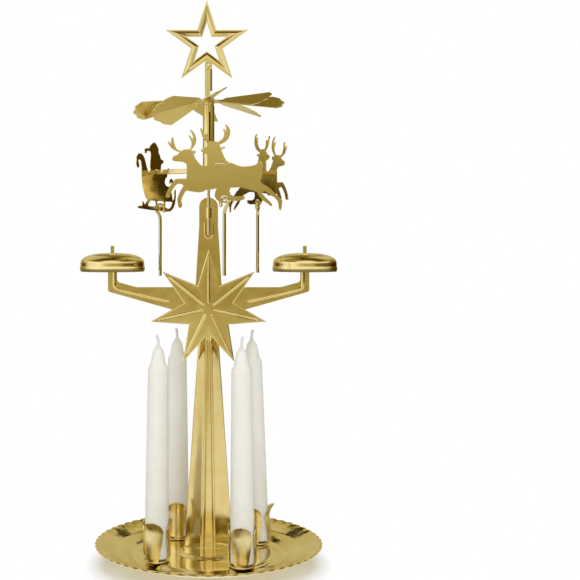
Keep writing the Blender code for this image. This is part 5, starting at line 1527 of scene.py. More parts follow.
@dataclass
class Candles:
    """The four candles and their wicks."""

    radius: float = 6.25
    foot: float = 3.7
    top: float = 117.2
    tip_length: float = 12.1
    top_radius: float = 5.4
    taper_start: float = 30.0
    bore: float = 0.9
    bore_depth: float = 3.0
    bore_lip: float = 0.3
    straight_foot: float = 12.0
    foot_round: float = 0.7
    wick_radius: float = 0.75
    wick_line: Line = ((114.4, 0.0), (117.2, 0.0), (119.2, 0.15), (121.0, 0.5), (122.3, 1.1))
    sides: int = 72
    tip: Line = (
        (0.185, 0.0), (0.28, 0.11), (0.42, 0.18), (0.51, 0.256), (0.57, 0.37), (0.635, 0.52),
        (0.69, 0.66), (0.76, 0.82), (0.86, 0.9), (0.955, 0.97), (1.0, 1.06))

    def profile(self) -> list[Point2]:
        """Draw the candle's section from its wick's bore to its foot.

        Returns:
            Radius and height of each point.
        """
        edge = smooth_line([(share * self.top_radius, self.top - drop * self.tip_length)
                            for share, drop in self.tip], 5)
        bottom, rounding = self.top - self.bore_depth, self.foot_round
        points = [(0.0, bottom), (self.bore, bottom), (self.bore, self.top - self.bore_lip)]
        points += [(across, height) for across, height in edge]
        points += [(self.radius, self.taper_start), (self.radius, self.straight_foot),
                   (self.radius, self.foot + rounding), (self.radius - 0.2, self.foot + 0.2),
                   (self.radius - rounding, self.foot), (0.0, self.foot)]
        return points

    def build(self) -> None:
        """Cast one candle, copy it to its places and set the wicks."""
        first = BENCH.turned("candle_stock", self.profile(), self.sides)
        for place in CANDLE_PLACES:
            piece = BENCH.copy(first, "wax_" + place.name)
            lean_mesh(piece, place)
            BENCH.place(piece, Matrix.Translation((*place.middle, 0)))
            body = "candle_" + place.name + "_body"
            BENCH.finish(piece, WAX, body, "candle_" + place.name, 50.0)
            self.wick(place, body)
        bpy.data.objects.remove(first, do_unlink=True)

    def wick(self, place: CandlePlace, body: str) -> None:
        """Set one wick, bent a little at its tip.

        Args:
            place: The candle's place.
            body: The body that it rides on.
        """
        turn = radians(place.angle)
        line = [(*polar(bend, turn), height) for height, bend in smooth_line(self.wick_line, 4)]
        piece = BENCH.wire("wick_cord_" + place.name, line, self.wick_radius, None, 4)
        lean_mesh(piece, place)
        BENCH.place(piece, Matrix.Translation((*place.middle, 0)))
        BENCH.finish(piece, COTTON, body, "wick_" + place.name, 60.0)


@dataclass
class RotorSpindle:
    """The tube, ferrule and collar of the rotor, and the needle that it turns on."""

    tube_radius: float = 3.2
    flange_radius: float = 4.4
    tube_wall: float = 0.4
    tube_foot: float = 211.7
    tube_top: float = 247.4
    seam_angle: float = -78.0
    seam_half: float = 0.4
    flange: float = 0.4
    tube_start: float = 0.2
    ferrule: Line = (
        (0.0, 249.2), (1.6, 249.2), (1.6, 252.1), (1.7, 252.2), (2.0, 252.2), (2.1, 252.1),
        (2.1, 249.25), (2.85, 249.2), (3.0, 249.05), (3.0, 247.85), (2.85, 247.7), (2.5, 247.7),
        (2.5, 243.7), (1.4, 243.7), (0.0, 246.8))
    collar: Line = (
        (2.4, 251.4), (2.5, 251.5), (2.85, 251.5), (3.0, 251.35), (3.0, 250.35), (2.85, 250.2),
        (2.4, 250.2), (2.4, 251.4))
    needle: Line = (
        (0.0, 246.5), (0.08, 246.42), (0.3, 245.7), (0.62, 244.6), (0.78, 244.1), (0.8, 243.6),
        (0.8, 210.0), (0.8, 176.3), (0.65, 176.1), (0.0, 176.1))

    def rolled(self, name: str, radius: float, level: float, height: float) -> Piece:
        """Roll one length of the tube, with its seam left open.

        Args:
            name: The length's name.
            radius: Its outer radius.
            level: Where it starts.
            height: How tall it is.

        Returns:
            The rolled length.
        """
        bore = self.tube_radius - self.tube_wall
        gap = degrees(self.seam_half / radius)
        start, end = self.seam_angle + gap, self.seam_angle + 360 - gap
        outline = arc((0.0, 0.0), radius, start, end, 120) + arc((0.0, 0.0), bore, end, start, 120)
        piece = BENCH.plate(name, [outline], level, height, Plane.LEVEL)
        BENCH.soften(piece, CUT_EDGE, 2, 60.0)
        return piece

    def tube(self) -> None:
        """Roll the tube and its small flange."""
        start, top = self.tube_foot + self.tube_start, self.tube_top
        parts = [self.rolled("spindle_tube", self.tube_radius, start, top - start),
                 self.rolled("tube_flange", self.flange_radius, self.tube_foot, self.flange)]
        BENCH.finish(BENCH.join(parts), FITTING_BRASS, Body.ROTOR.value, "rotor_tube")

    def build(self) -> None:
        """Roll the tube; turn the ferrule with its conical seat, the collar and the needle."""
        self.tube()
        for name, profile, sides, finish, body, node in (
                ("spindle_ferrule", self.ferrule, 64, FITTING_BRASS, Body.ROTOR, "bearing_cup"),
                ("spindle_collar", self.collar, 64, FITTING_BRASS, Body.ROTOR, "hub_collar"),
                ("needle_pin", self.needle, 32, NEEDLE_STEEL, Body.BASE, "needle")):
            BENCH.finish(BENCH.turned(name, profile, sides), finish, body.value, node)


@dataclass
class VaneWheel:
    """The wheel of eight twisted vanes with scalloped ends."""

    first_angle: float = 3.5
    pitch: float = 28.0
    level: float = 249.7
    sheet: float = 0.4
    hub: float = 8.0
    bore: float = 2.4
    twist_end: float = 10.5
    shoulder: float = 36.5
    tip: float = 42.0
    root_half: float = 2.1
    neck_half: float = 2.7
    tip_half: float = 8.6
    lobes: int = 3
    lobe_depth: float = 1.2
    sweep: float = 0.8
    overlap: float = 0.4
    twist_lead: float = 0.2
    droops: tuple[float, ...] = (0.5, 4.2, 6.4, 12.0, 11.1, 10.7, 2.2, 3.1)

    def press(self, across: float, along: float) -> Point3:
        """Press one place of a vane's blank, before it is bent to its droop.

        Args:
            across: From 0 to 1 over the vane's width.
            along: From 0 at the hub to 1 at the scalloped end.

        Returns:
            The pressed place, with the vane along +X.
        """
        side = 2 * across - 1
        lobe = abs(sin(pi * self.lobes * across))
        sweep = (self.tip - self.shoulder) * (1 - side ** 2) * self.sweep
        end = self.shoulder + sweep + self.lobe_depth * lobe
        start = sqrt(self.hub ** 2 - (self.root_half * side) ** 2) - self.overlap
        reach = start + (end - start) * along
        if reach < self.twist_end:
            share = max(reach - self.hub, 0.0) / (self.twist_end - self.hub)
            half = self.root_half + (self.neck_half - self.root_half) * share
        else:
            share = (reach - self.twist_end) / (self.shoulder - self.twist_end)
            half = self.neck_half + (self.tip_half - self.neck_half) * min(share, 1.0)
        lead = self.twist_lead - self.hub
        turn = min(max(reach + lead, 0.0) / (self.twist_end + lead), 1.0)
        pitch = radians(self.pitch) * turn * turn * (3 - 2 * turn)
        y = side * half
        return (reach, y * cos(pitch), y * sin(pitch))

    def build(self) -> None:
        """Press one vane, copy it round the hub and bend each to its own droop."""
        stock = BENCH.sheet("vane_stock", 37, 41, self.press)
        BENCH.wall(stock, self.sheet)
        BENCH.soften(stock, CUT_EDGE, 2, 60.0)
        low, high = self.level - self.sheet / 2, self.level + self.sheet / 2
        profile = [(self.bore, high), (self.hub - 0.1, high), (self.hub, high - 0.1),
                   (self.hub, low), (self.bore, low), (self.bore, high)]
        parts = [BENCH.turned("vane_fan", profile, 96)]
        hinge = Matrix.Translation((self.hub, 0, 0))
        lift = Matrix.Translation((0, 0, self.level))
        places = []
        for number, droop in enumerate(self.droops):
            bend = hinge @ Matrix.Rotation(radians(droop), 4, "Y") @ hinge.inverted()
            turn = radians(self.first_angle + number * 360 / len(self.droops))
            places.append(lift @ Matrix.Rotation(turn, 4, "Z") @ bend)
        parts += BENCH.copies(stock, "vane", places)
        BENCH.finish(BENCH.join(parts), ROTOR_BRASS, Body.ROTOR.value, "vane_wheel")


@dataclass
class TopStar:
    """The open star on its folded stem."""

    points: int = 5
    centre: float = 281.6
    shift: float = -1.0
    radius: float = 23.9
    notch: float = 9.1
    band: float = 3.8
    outer_flange: float = 0.75
    ridge_width: float = 2.55
    ridge_rise: float = 0.95
    back: float = -0.55
    front: float = -1.05
    tab_half: float = 1.9
    tab_foot: float = 267.2
    tab_sheet: float = 0.4
    pin_height: float = 269.2
    pin_hole: float = 0.9
    pin: Line = (
        (0.0, 0.95), (0.8, 0.92), (1.1, 0.7), (1.1, 0.55), (0.6, 0.55), (0.6, -1.35), (1.1, -1.35),
        (1.05, -1.55), (0.75, -1.72), (0.0, -1.75))
    stem_section: Line = ((-2.1, -0.25), (0.8, -0.25), (1.0, -0.15), (1.98, 1.15))
    stem_levels: Point2 = (255.6, 271.2)
    stem_sheet: float = 0.5
    tongue: Line = (
        (-2.05, 256.5), (-2.05, 252.5), (-0.9, 252.5), (-0.9, 249.6), (-0.7, 249.5), (0.7, 249.5),
        (0.9, 249.6), (0.9, 256.5))
    tongue_sheet: float = 0.44

    def loop(self, inset: float, depth: float) -> list[Point3]:
        """Draw the star's outline, drawn in by an inset, at one depth.

        Args:
            inset: How far the line lies inside the outer edge.
            depth: The line's Y.

        Returns:
            The corners, from the top point round.
        """
        half = pi / self.points
        edge = (Vector(polar(self.notch, half)) - Vector((self.radius, 0))).normalized()
        tip_angle = atan2(edge.y, -edge.x)
        tip = self.radius - inset / sin(tip_angle)
        inner = self.notch - inset / sin(half + tip_angle)
        corners = []
        for number in range(2 * self.points):
            turn = pi / 2 + number * half
            across, up = polar(tip if number % 2 == 0 else inner, turn)
            corners.append((self.shift + across, depth, self.centre + up))
        return corners

    def star(self) -> None:
        """Press the star's band with its ridge and cut its tab."""
        foot = self.outer_flange
        middle = foot + self.ridge_width / 2
        crest = self.front - self.ridge_rise
        section = [(0.0, self.back), (0.0, self.front), (foot, self.front), (middle, crest),
                   (foot + self.ridge_width, self.front), (self.band, self.front),
                   (self.band, self.back)]
        ring = BENCH.bridged("star_band", [self.loop(inset, depth) for inset, depth in section])
        BENCH.soften(ring, FINE_EDGE, 2, 25.0)
        top = self.centre - self.notch + self.band / 2
        outline = [(-self.tab_half, self.tab_foot + 0.5), (-self.tab_half + 0.5, self.tab_foot),
                   (self.tab_half - 0.5, self.tab_foot), (self.tab_half, self.tab_foot + 0.5),
                   (self.tab_half, top), (-self.tab_half, top)]
        hole = arc((0.0, self.pin_height), self.pin_hole, 0, 345, 23)
        tab = BENCH.plate("star_tab", [outline, hole], self.front + 0.05, self.tab_sheet)
        BENCH.soften(tab, FINE_EDGE)
        BENCH.finish(BENCH.join([ring, tab]), ROTOR_BRASS, Body.ROTOR.value, "top_star", 25.0)

    def stem(self) -> None:
        """Fold the stem and cut its tongue."""
        piece = BENCH.folded("star_stem_strip", self.stem_section, *self.stem_levels,
                             self.stem_sheet, Plane.LEVEL, (0, -1, 0))
        BENCH.soften(piece, FOLD_EDGE)
        tongue = BENCH.plate("stem_tongue", [self.tongue], -self.tongue_sheet / 2, self.tongue_sheet)
        BENCH.soften(tongue, FINE_EDGE)
        BENCH.finish(BENCH.join([piece, tongue]), ROTOR_BRASS, Body.ROTOR.value, "star_stem")

    def rivet(self) -> None:
        """Close the rivet through the tab and the stem."""
        piece = BENCH.turned("star_pin", self.pin, 32)
        lift = Matrix.Translation((0, 0, self.pin_height))
        BENCH.place(piece, lift @ Matrix.Rotation(-pi / 2, 4, "X"))
        BENCH.finish(piece, FITTING_BRASS, Body.ROTOR.value, "star_rivet")

    def build(self) -> None:
        """Build the star, its stem and its rivet."""
        self.star()
        self.stem()
        self.rivet()


@dataclass
class FigureCarrier:
    """The ring with three channel arms that end in folded tongues."""

    ring: float = 6.2
    bore: float = 3.5
    half_width: float = 2.1
    foot: float = 210.5
    web: float = 212.4
    sheet: float = 0.5
    arm_start: float = 4.2
    arm_end: float = 32.95
    tongue_start: float = 32.5
    tongue_end: float = 34.45
    tongue_drop: float = 1.75
    tongue_inset: float = 0.05
    tongue_sheet: float = 0.38

    def arm(self) -> Piece:
        """Fold one arm along +X with its tongue.

        Returns:
            The arm.
        """
        top, half = self.web + self.sheet, self.half_width
        section = [(-half, self.foot), (-half, top - BEND), (-half + BEND, top), (half - BEND, top),
                   (half, top - BEND), (half, self.foot)]
        channel = BENCH.folded("carrier_arm", section, self.arm_start, self.arm_end, self.sheet)
        BENCH.soften(channel, FOLD_EDGE)
        strip = [(self.tongue_start, top), (self.tongue_end - BEND, top),
                 (self.tongue_end, top - BEND), (self.tongue_end, self.web - self.tongue_drop)]
        width = half - self.tongue_inset
        tongue = BENCH.folded("carrier_tongue", strip, -width, width, self.tongue_sheet)
        BENCH.place(tongue, Matrix.Rotation(-pi / 2, 4, "Z"))
        BENCH.soften(tongue, FINE_EDGE)
        return BENCH.join([channel, tongue])

    def build(self) -> None:
        """Cut the ring, fold one arm and copy it to its three places."""
        outer = arc((0.0, 0.0), self.ring, 0, 355, 71)
        inner = arc((0.0, 0.0), self.bore, 0, 350, 35)
        disc = BENCH.plate("carrier_spokes", [outer, inner], self.web, self.sheet, Plane.LEVEL)
        BENCH.soften(disc, CUT_EDGE)
        turns = [Matrix.Rotation(radians(angle), 4, "Z") for angle in FIGURE_ANGLES]
        parts = [disc, *BENCH.copies(self.arm(), "carrier_arm", turns)]
        BENCH.finish(BENCH.join(parts), ROTOR_BRASS, Body.ROTOR.value, "figure_carrier")


@dataclass
class FlatFigures:
    """The two reindeer pairs and the sleigh with its hooded driver, cut from flat sheet."""

    radius: float = FIGURE_RADIUS
    foot: float = 189.5
    sheet: float = 0.5
    edge: float = 0.09
    pair_step: float = 44.26 / 85
    sleigh_step: float = 39.0 / 69
    pair_slot: float = 55.0
    pair_hole: float = 59.6
    sleigh_slot: float = 38.6
    slot_rise: float = 23.15
    hole_rise: float = 5.52
    slot_half: Point2 = (2.4, 0.55)
    hole_half: Point2 = (2.1, 1.4)
    hole_sides: int = 12
    corner_cuts: tuple[Point2, Point2] = ((0.27, 0.02), (0.1, 0.035))
    pair: Line = (
        (6.8, 50), (8, 52), (12, 53.5), (14.5, 56.2), (12.5, 56.8), (9, 58.2), (5.5, 61), (3.3, 64.5),
        (2, 67.5), (3.6, 66.8), (5.4, 64.2), (6, 69.5), (6.9, 72), (8.3, 70.5), (8.7, 66.5),
        (10.2, 61.5), (12, 58.8), (15, 58.2), (18.5, 59), (23.3, 59.2), (25.4, 61.5), (26.6, 64.5),
        (25.8, 68.5), (24.2, 71.5), (23, 73.4), (24.8, 73), (27, 70.8), (28.2, 70.6), (27.2, 74.5),
        (24.2, 79), (26.4, 78.6), (29, 76), (30.8, 72), (31.3, 68), (30.4, 64.5), (28.5, 61.8),
        (26.4, 58.8), (27.2, 57.8), (29.6, 58.4), (31, 57), (30, 55), (28.4, 54.2), (30, 50.5),
        (33, 46.5), (36, 43.4), (39.5, 42.4), (42.6, 43.6), (43, 50), (42.4, 54.8), (38.8, 55.4),
        (36, 57.4), (36, 59.8), (38.6, 60.8), (41.6, 61.8), (42.6, 65), (41.8, 66.4), (39.4, 68.8),
        (37, 72.8), (35.6, 77.5), (35.3, 81), (36.8, 80.6), (38, 77), (39.6, 73.8), (41, 76.6),
        (42.2, 76.8), (42.8, 74), (42.6, 71), (44.4, 67.4), (52, 67.2), (55.6, 68.4), (58.4, 71),
        (59.6, 74.2), (59.4, 77.4), (58.2, 80.2), (59.4, 80.6), (61.6, 78.4), (61.8, 81.4), (60, 84.6),
        (61.4, 85), (63.8, 83.2), (65.4, 79.4), (65.6, 75.4), (64.4, 71.4), (61.6, 68), (58, 65.6),
        (54.6, 64.2), (54.8, 63), (57.6, 62.4), (60.6, 62.8), (60, 60.8), (56.6, 59.2), (57.2, 57),
        (59.2, 52.8), (61.2, 49), (64.2, 46.6), (68, 46), (72.2, 44), (76.6, 42.8), (82, 42.8),
        (87, 43.4), (91, 44.4), (94.4, 46.8), (96.6, 48.6), (99, 47), (99.3, 43), (97.8, 39.6),
        (98.8, 36), (98, 31.5), (96, 28), (99, 25.2), (103, 23.6), (107, 20.2), (112, 15.6), (116.5, 12),
        (119.2, 8.6), (118.4, 5), (118, 0), (115.8, 0), (115.2, 5.4), (114.4, 8.6), (111, 12),
        (105.4, 15.6), (101.4, 18.4), (97.6, 17), (101, 12.6), (106, 8.2), (109.2, 4.2), (107.8, 2.6),
        (104.4, 5.4), (99, 9), (95.8, 12.6), (93, 17.4), (87, 19.2), (81, 20.8), (77, 22), (71, 21.6),
        (66, 21.4), (64.6, 18), (66, 14.4), (70, 12.6), (75.6, 13), (80.6, 13.2), (80, 9.8), (75, 8.2),
        (69, 8), (65.6, 8.4), (62.6, 6), (56.6, 6), (52.6, 8.4), (49.6, 12.4), (50.4, 17.4), (52, 20.8),
        (46, 19.2), (41, 19), (37.6, 16.8), (33, 16.4), (27, 17.2), (22, 18), (20.2, 17.4), (18.4, 14),
        (16.4, 10), (16, 7), (17.3, 4), (15.4, 0.2), (13.3, 1.4), (12.4, 6), (12, 9.6), (13.4, 14),
        (16, 19.4), (18.6, 23.4), (15, 25), (12, 24.6), (9.4, 22), (7, 18.4), (5.4, 15), (4.4, 11),
        (0.3, 11), (0.5, 14), (2.4, 18.4), (5, 23), (8, 27), (10.5, 29.8), (15, 30), (21.4, 29.8),
        (21.7, 36), (21.8, 41), (21, 45), (18, 46.6), (14, 47), (9, 47.2), (7.2, 48.4))
    sleigh: Line = (
        (3.2, 4.6), (3, 2.6), (24, 1.2), (44, 0.6), (56, 0), (63, 0.6), (68, 3.6), (71.6, 8.6),
        (73, 14.6), (73.4, 20.6), (72.4, 23.2), (70.4, 22.8), (70.2, 17), (69.2, 12), (67, 11.6),
        (65.6, 18), (62.8, 22.4), (66.4, 25), (68.6, 29), (67.6, 32.8), (64.6, 34.4), (61.6, 32.6),
        (60.6, 29), (62.2, 28.6), (64.2, 31.2), (65.6, 29), (63.6, 26.4), (59, 25.4), (54.2, 26.4),
        (51.8, 29.6), (53, 33.4), (56.2, 35.2), (57, 38.6), (58.4, 40), (62, 40.8), (61.8, 43.2),
        (59, 44.6), (56.4, 42.4), (51.6, 39.8), (47.4, 38.6), (45.6, 40), (44.4, 43.4), (45.4, 47.6),
        (49.4, 49.4), (50, 51.6), (45, 52.4), (42.6, 56.4), (40, 59.8), (40.6, 62.4), (38.2, 65.2),
        (33.6, 69), (29, 67.4), (25.8, 65), (24, 62.2), (18.4, 62), (15, 60.6), (15.6, 56.8),
        (18.6, 57.2), (19.2, 59.4), (25, 59.6), (26.4, 57), (25.2, 50), (24.8, 44), (26, 41.6),
        (24.6, 38.8), (21.6, 39), (18.6, 43.6), (16.4, 49), (14, 53.2), (9.6, 56.2), (4.4, 56), (1, 52),
        (0.2, 46), (2, 41.6), (5.2, 42.4), (5.2, 45.4), (3.6, 48.6), (5.4, 50.6), (8.6, 49), (9.6, 44),
        (10, 35), (11.4, 26), (14, 19), (18, 13.6), (21.2, 11), (17.4, 8), (15.6, 5.6), (12.6, 9.6),
        (10.8, 9.4), (11.6, 5.2))
    windows: tuple[Line, ...] = (
        ((25, 10.6), (20, 5), (35, 4.8), (35, 10.6)),
        ((37.6, 10.6), (37.6, 4.8), (50.2, 4.6), (50.2, 10.6)),
        ((52.8, 10.4), (52.8, 4.4), (58, 3.2), (62, 3.6), (65.4, 6.4), (67, 10.4)))

    def slot(self) -> list[Point2]:
        """Draw the slot for the arm's tongue, which is centred on X = 0.

        Returns:
            The slot's corners.
        """
        half, rise = self.slot_half
        low, high = self.slot_rise - rise, self.slot_rise + rise
        return [(-half, low), (half, low), (half, high), (-half, high)]

    def rounded(self, loop: Sequence[Point2], step: float, slot: float, mirror: bool) -> list[Point2]:
        """Bring an outline in shares to millimetres, with its corners cut a little.

        Args:
            loop: The outline in shares of the figure's height.
            step: The size of one share.
            slot: Where the slot's middle is along the outline.
            mirror: Whether the outline is turned round.

        Returns:
            The outline about the slot's middle.
        """
        scaled = [Vector(((x - slot) * step * (-1 if mirror else 1), z * step)) for x, z in loop]
        points: list[Point2] = []
        for before, here, after in zip(scaled[-1:] + scaled[:-1], scaled, scaled[1:] + scaled[:1]):
            (far, far_pull), (near, near_pull) = self.corner_cuts
            for share, pull, other in ((far, far_pull, before), (near, near_pull, before),
                                       (near, near_pull, after), (far, far_pull, after)):
                corner = here + (other - here) * share + ((before + after) / 2 - here) * pull
                points.append((corner.x, corner.y))
        return points

    def hole(self) -> list[Point2]:
        """Draw the hole for the striker's eye in a pair.

        Returns:
            The hole's points.
        """
        middle = (self.pair_hole - self.pair_slot) * self.pair_step
        return [(middle + self.hole_half[0] * cos(turn / self.hole_sides * tau),
                 self.hole_rise + self.hole_half[1] * sin(turn / self.hole_sides * tau))
                for turn in range(self.hole_sides)]

    def cut(self, name: str, loops: Sequence[Sequence[Point2]]) -> Piece:
        """Cut a figure out of flat sheet.

        Args:
            name: The figure's name.
            loops: Its outline, then its windows.

        Returns:
            The figure, lying about its slot's middle.
        """
        piece = BENCH.plate(name, loops, -self.sheet / 2, self.sheet)
        BENCH.soften(piece, self.edge, 2, 60.0)
        return piece

    def seat(self, piece: Piece, angle: float) -> None:
        """Stand a figure on its arm.

        Args:
            piece: The figure.
            angle: The arm's angle in degrees.
        """
        turn = radians(angle)
        spot = Matrix.Translation((*polar(self.radius, turn), self.foot))
        BENCH.place(piece, spot @ Matrix.Rotation(turn + pi / 2, 4, "Z"))

    def build(self) -> None:
        """Cut one pair, copy it, cut the sleigh and stand all three on their arms."""
        outline = self.rounded(self.pair, self.pair_step, self.pair_slot, False)
        front = self.cut("reindeer_cutout_front", [outline, self.slot(), self.hole()])
        rear = BENCH.copy(front, "reindeer_cutout_rear")
        loops = [self.rounded(loop, self.sleigh_step, self.sleigh_slot, True)
                 for loop in (self.sleigh, *self.windows)]
        sleigh = self.cut("sleigh_cutout", [*loops, self.slot()])
        figures = ((front, "reindeer_front"), (rear, "reindeer_rear"), (sleigh, "sleigh"))
        for angle, (piece, node) in zip(FIGURE_ANGLES, figures):
            self.seat(piece, angle)
            BENCH.finish(piece, FIGURE_BRASS, Body.ROTOR.value, node)


@dataclass
class Strikers:
    """The three wires that swing out against the bells."""

    wire: float = 0.9
    eye: float = 2.4
    length: float = 38.0
    neck: float = 4.8
    turn: float = 45.0
    neck_lead: float = 1.2
    pair_hole: Point2 = (2.3953, 192.7442)
    sleigh_hole: Point2 = (-2.9391, 191.0261)

    def stock(self) -> Piece:
        """Bend one striker about its eye's middle.

        Returns:
            The striker.
        """
        start = -self.neck - self.neck_lead
        line = [(0.0, 0.0, -self.length), (0.0, 0.0, -self.length * 0.6),
                (0.0, 0.0, -self.length * 0.3), (0.0, 0.0, start)]
        bend = [(0.0, 0.0, start), (0.12, 0.0, -self.neck), (0.5, 0.0, -3.5)]
        for x, z in arc((0.0, 0.0), self.eye, -60, 225, 30):
            bend.append((x, 0.0, z))
        smooth = smooth_line(bend[:4], 3)[1:-1]
        return BENCH.wire("striker_stock", line + smooth + bend[3:], self.wire, None, 5)

    def build(self) -> None:
        """Bend one striker and hang a copy in each figure."""
        stock = self.stock()
        BENCH.soften(stock, 0.2, 3, 60.0)
        holes = (self.pair_hole, self.pair_hole, self.sleigh_hole)
        for name, angle, (along, height) in zip(("front", "rear", "left"), FIGURE_ANGLES, holes):
            turn = radians(angle)
            piece = BENCH.copy(stock, "striker_wire_" + name)
            x = FIGURE_RADIUS * cos(turn) - along * sin(turn)
            y = FIGURE_RADIUS * sin(turn) + along * cos(turn)
            spin = Matrix.Rotation(turn + radians(self.turn), 4, "Z")
            BENCH.place(piece, Matrix.Translation((x, y, height)) @ spin)
            BENCH.finish(piece, WIRE_BRASS, "striker_" + name + "_body", "striker_" + name, 60.0)
        bpy.data.objects.remove(stock, do_unlink=True)


@dataclass
class Studio:
    """The pale floor, the soft lamps, the walls that the brass mirrors, and the camera."""

    floor_colour: Colour = (0.88, 0.88, 0.88)
    floor_size: float = 14.0
    floor_roughness: float = 0.16
    floor_specular: float = 0.35
    shadow_reach: Point2 = (0.056, 0.067)
    shadow_middle: Point3 = (0.0, -0.014, 0.0)
    near_white: float = 0.15
    world_strength: float = 0.7
    wall_radius: float = 2.4
    camera_place: Point3 = (0.0, -0.6, 0.1735)
    lens: float = 67.59
    shift: Point2 = (0.1403, -0.0867)
    colour_falls: Point2 = (0.2, 1.3)
    low_wall: Line = (
        (0.0, 0.6), (0.05, 0.6), (0.12, 0.26), (0.2, 0.3), (0.25, 0.9), (0.36, 1.2), (0.43, 0.7),
        (0.46, 0.56), (0.485, 0.42), (0.515, 0.33), (0.54, 0.35), (0.565, 0.37), (0.59, 0.2),
        (0.62, 0.04), (0.8, 0.02), (0.9, 0.02), (0.95, 0.6), (1.0, 0.6))
    high_wall: Line = (
        (0.0, 0.55), (0.028, 0.55), (0.045, 0.66), (0.12, 0.66), (0.2, 0.85), (0.24, 1.1), (0.3, 1.25),
        (0.42, 1.35), (0.5, 1.25), (0.58, 1.35), (0.7, 1.25), (0.76, 1.0), (0.8, 0.3), (0.88, 0.35),
        (0.955, 0.66), (1.0, 0.55))
    top_wall: Line = (
        (0.0, 0.24), (0.028, 0.24), (0.05, 0.68), (0.12, 0.68), (0.2, 0.5), (0.25, 0.14), (0.36, 0.14),
        (0.41, 0.9), (0.5, 1.0), (0.59, 0.9), (0.64, 0.14), (0.75, 0.14), (0.8, 0.3), (0.88, 0.68),
        (0.95, 0.68), (0.972, 0.24), (1.0, 0.24))
    high_share: Line = ((0.0, 0.0), (0.1, 0.04), (0.28, 0.42), (0.45, 1.0), (1.0, 1.0))
    top_share: Line = ((0.0, 0.0), (0.5, 0.0), (0.62, 1.0), (1.0, 1.0))
    ceiling: Line = ((0.0, 1.0), (0.84, 1.0), (0.9, 0.5), (0.96, 0.24), (1.0, 0.12))
    near_floor: Line = ((0.0, 0.66), (0.2, 0.62), (0.28, 0.9), (0.72, 0.9), (0.8, 0.55), (1.0, 0.66))
    far_floor: Line = (
        (0.0, 0.5), (0.2, 0.45), (0.3, 0.85), (0.43, 0.85), (0.47, 0.64), (0.5, 0.56), (0.53, 0.5),
        (0.57, 0.85), (0.7, 0.85), (0.78, 0.1), (0.9, 0.1), (1.0, 0.5))
    far_share: Line = ((0.0, 0.0), (0.1, 0.0), (0.3, 1.0), (1.0, 1.0))
    flags: tuple[tuple[Point3, Point2], ...] = (
        ((0.32, 1.215, 0.79), (0.14, 0.17)), ((-0.265, 1.2, 0.79), (0.15, 0.18)),
        ((-1.905, 1.1, 0.168), (0.8, 0.336)))
    lamps: tuple[tuple[str, Point3, float, float, bool], ...] = (
        ("lamp_left", (-1.1, -0.9, 1.2), 1.0, 2.2, True),
        ("lamp_right", (1.1, -0.9, 1.2), 1.0, 1.8, True),
        ("lamp_above", (0.0, 0.2, 1.8), 1.2, 3.0, True),
        ("lamp_fill", (0.0, -1.3, 0.3), 0.8, 4.4, False))
    lamp_aim: Point3 = (0.0, 0.0, 0.13)

    def floor(self) -> None:
        """Lay the pale, slightly glossy floor, which reflections show as a painted map of light and
        dark.
        """
        BENCH.deselect()
        bpy.ops.mesh.primitive_plane_add(size=self.floor_size, location=(0, 0, -0.00002))
        piece = BENCH.take("studio_floor")
        BENCH.shut()
        material, kit = bare_material("floor_board")
        place = kit.place()
        pale = tuple(value * 0.985 for value in self.floor_colour)
        board = kit.add("BsdfPrincipled", {
            "Base Color": kit.mix(kit.noise(place, 3.0), self.floor_colour, pale),
            "Roughness": self.floor_roughness, "Specular IOR Level": self.floor_specular})
        beside = kit.add("VectorMath", {0: place, 1: self.shadow_middle}, operation="DISTANCE")
        plain = kit.span(beside.outputs["Value"], *self.shadow_reach, self.near_white, 1.0)
        rays = kit.add("LightPath").outputs
        seen = kit.math("MAXIMUM", rays["Is Camera Ray"], rays["Is Transmission Ray"])
        white = kit.add("Emission", {"Color": WHITE, "Strength": 1.0})
        shown = kit.blend(kit.math("MULTIPLY", seen, plain), board, white)
        # Painted reflection: glossy rays see a glowing map of greys, set by direction and distance, in
        # place of the lit floor.
        turn = self.turn(kit, place)
        away = kit.add("VectorMath", {0: place}, operation="LENGTH").outputs["Value"]
        reach = kit.math("DIVIDE", away, self.wall_radius)
        level = kit.mix(self.ramp(kit, reach, self.far_share), self.ramp(kit, turn, self.near_floor),
                        self.ramp(kit, turn, self.far_floor))
        mirrored = kit.add("Emission", {"Color": self.warmed(kit, level), "Strength": 1.0})
        last = kit.blend(rays["Is Glossy Ray"], shown, mirrored)
        kit.add("OutputMaterial", {"Surface": last.outputs[0]})
        piece.data.materials.append(material)

    def turn(self, kit: NodeKit, place: Socket) -> Socket:
        """Tell how far round a place stands: 0.5 in front, 0.75 right, 0.25 left, 0 or 1 behind.

        Args:
            kit: The material's nodes.
            place: The place's socket.

        Returns:
            The turn's socket.
        """
        side, back, _ = kit.parts(place)
        across = kit.math("ARCTAN2", side, kit.math("MULTIPLY", back, -1.0))
        return kit.math("ADD", kit.math("DIVIDE", across, tau), 0.5)

    def warmed(self, kit: NodeKit, level: Socket) -> Socket:
        """Give a level of light its colour: white where it is bright and brown where it is dark.

        Args:
            kit: The material's nodes.
            level: The level's socket.

        Returns:
            The colour's socket.
        """
        low = kit.math("MINIMUM", level, 1.0)
        green, blue = (kit.math("MULTIPLY", level, kit.math("POWER", low, fall))
                       for fall in self.colour_falls)
        return kit.add("CombineColor", {0: level, 1: green, 2: blue}).outputs[0]

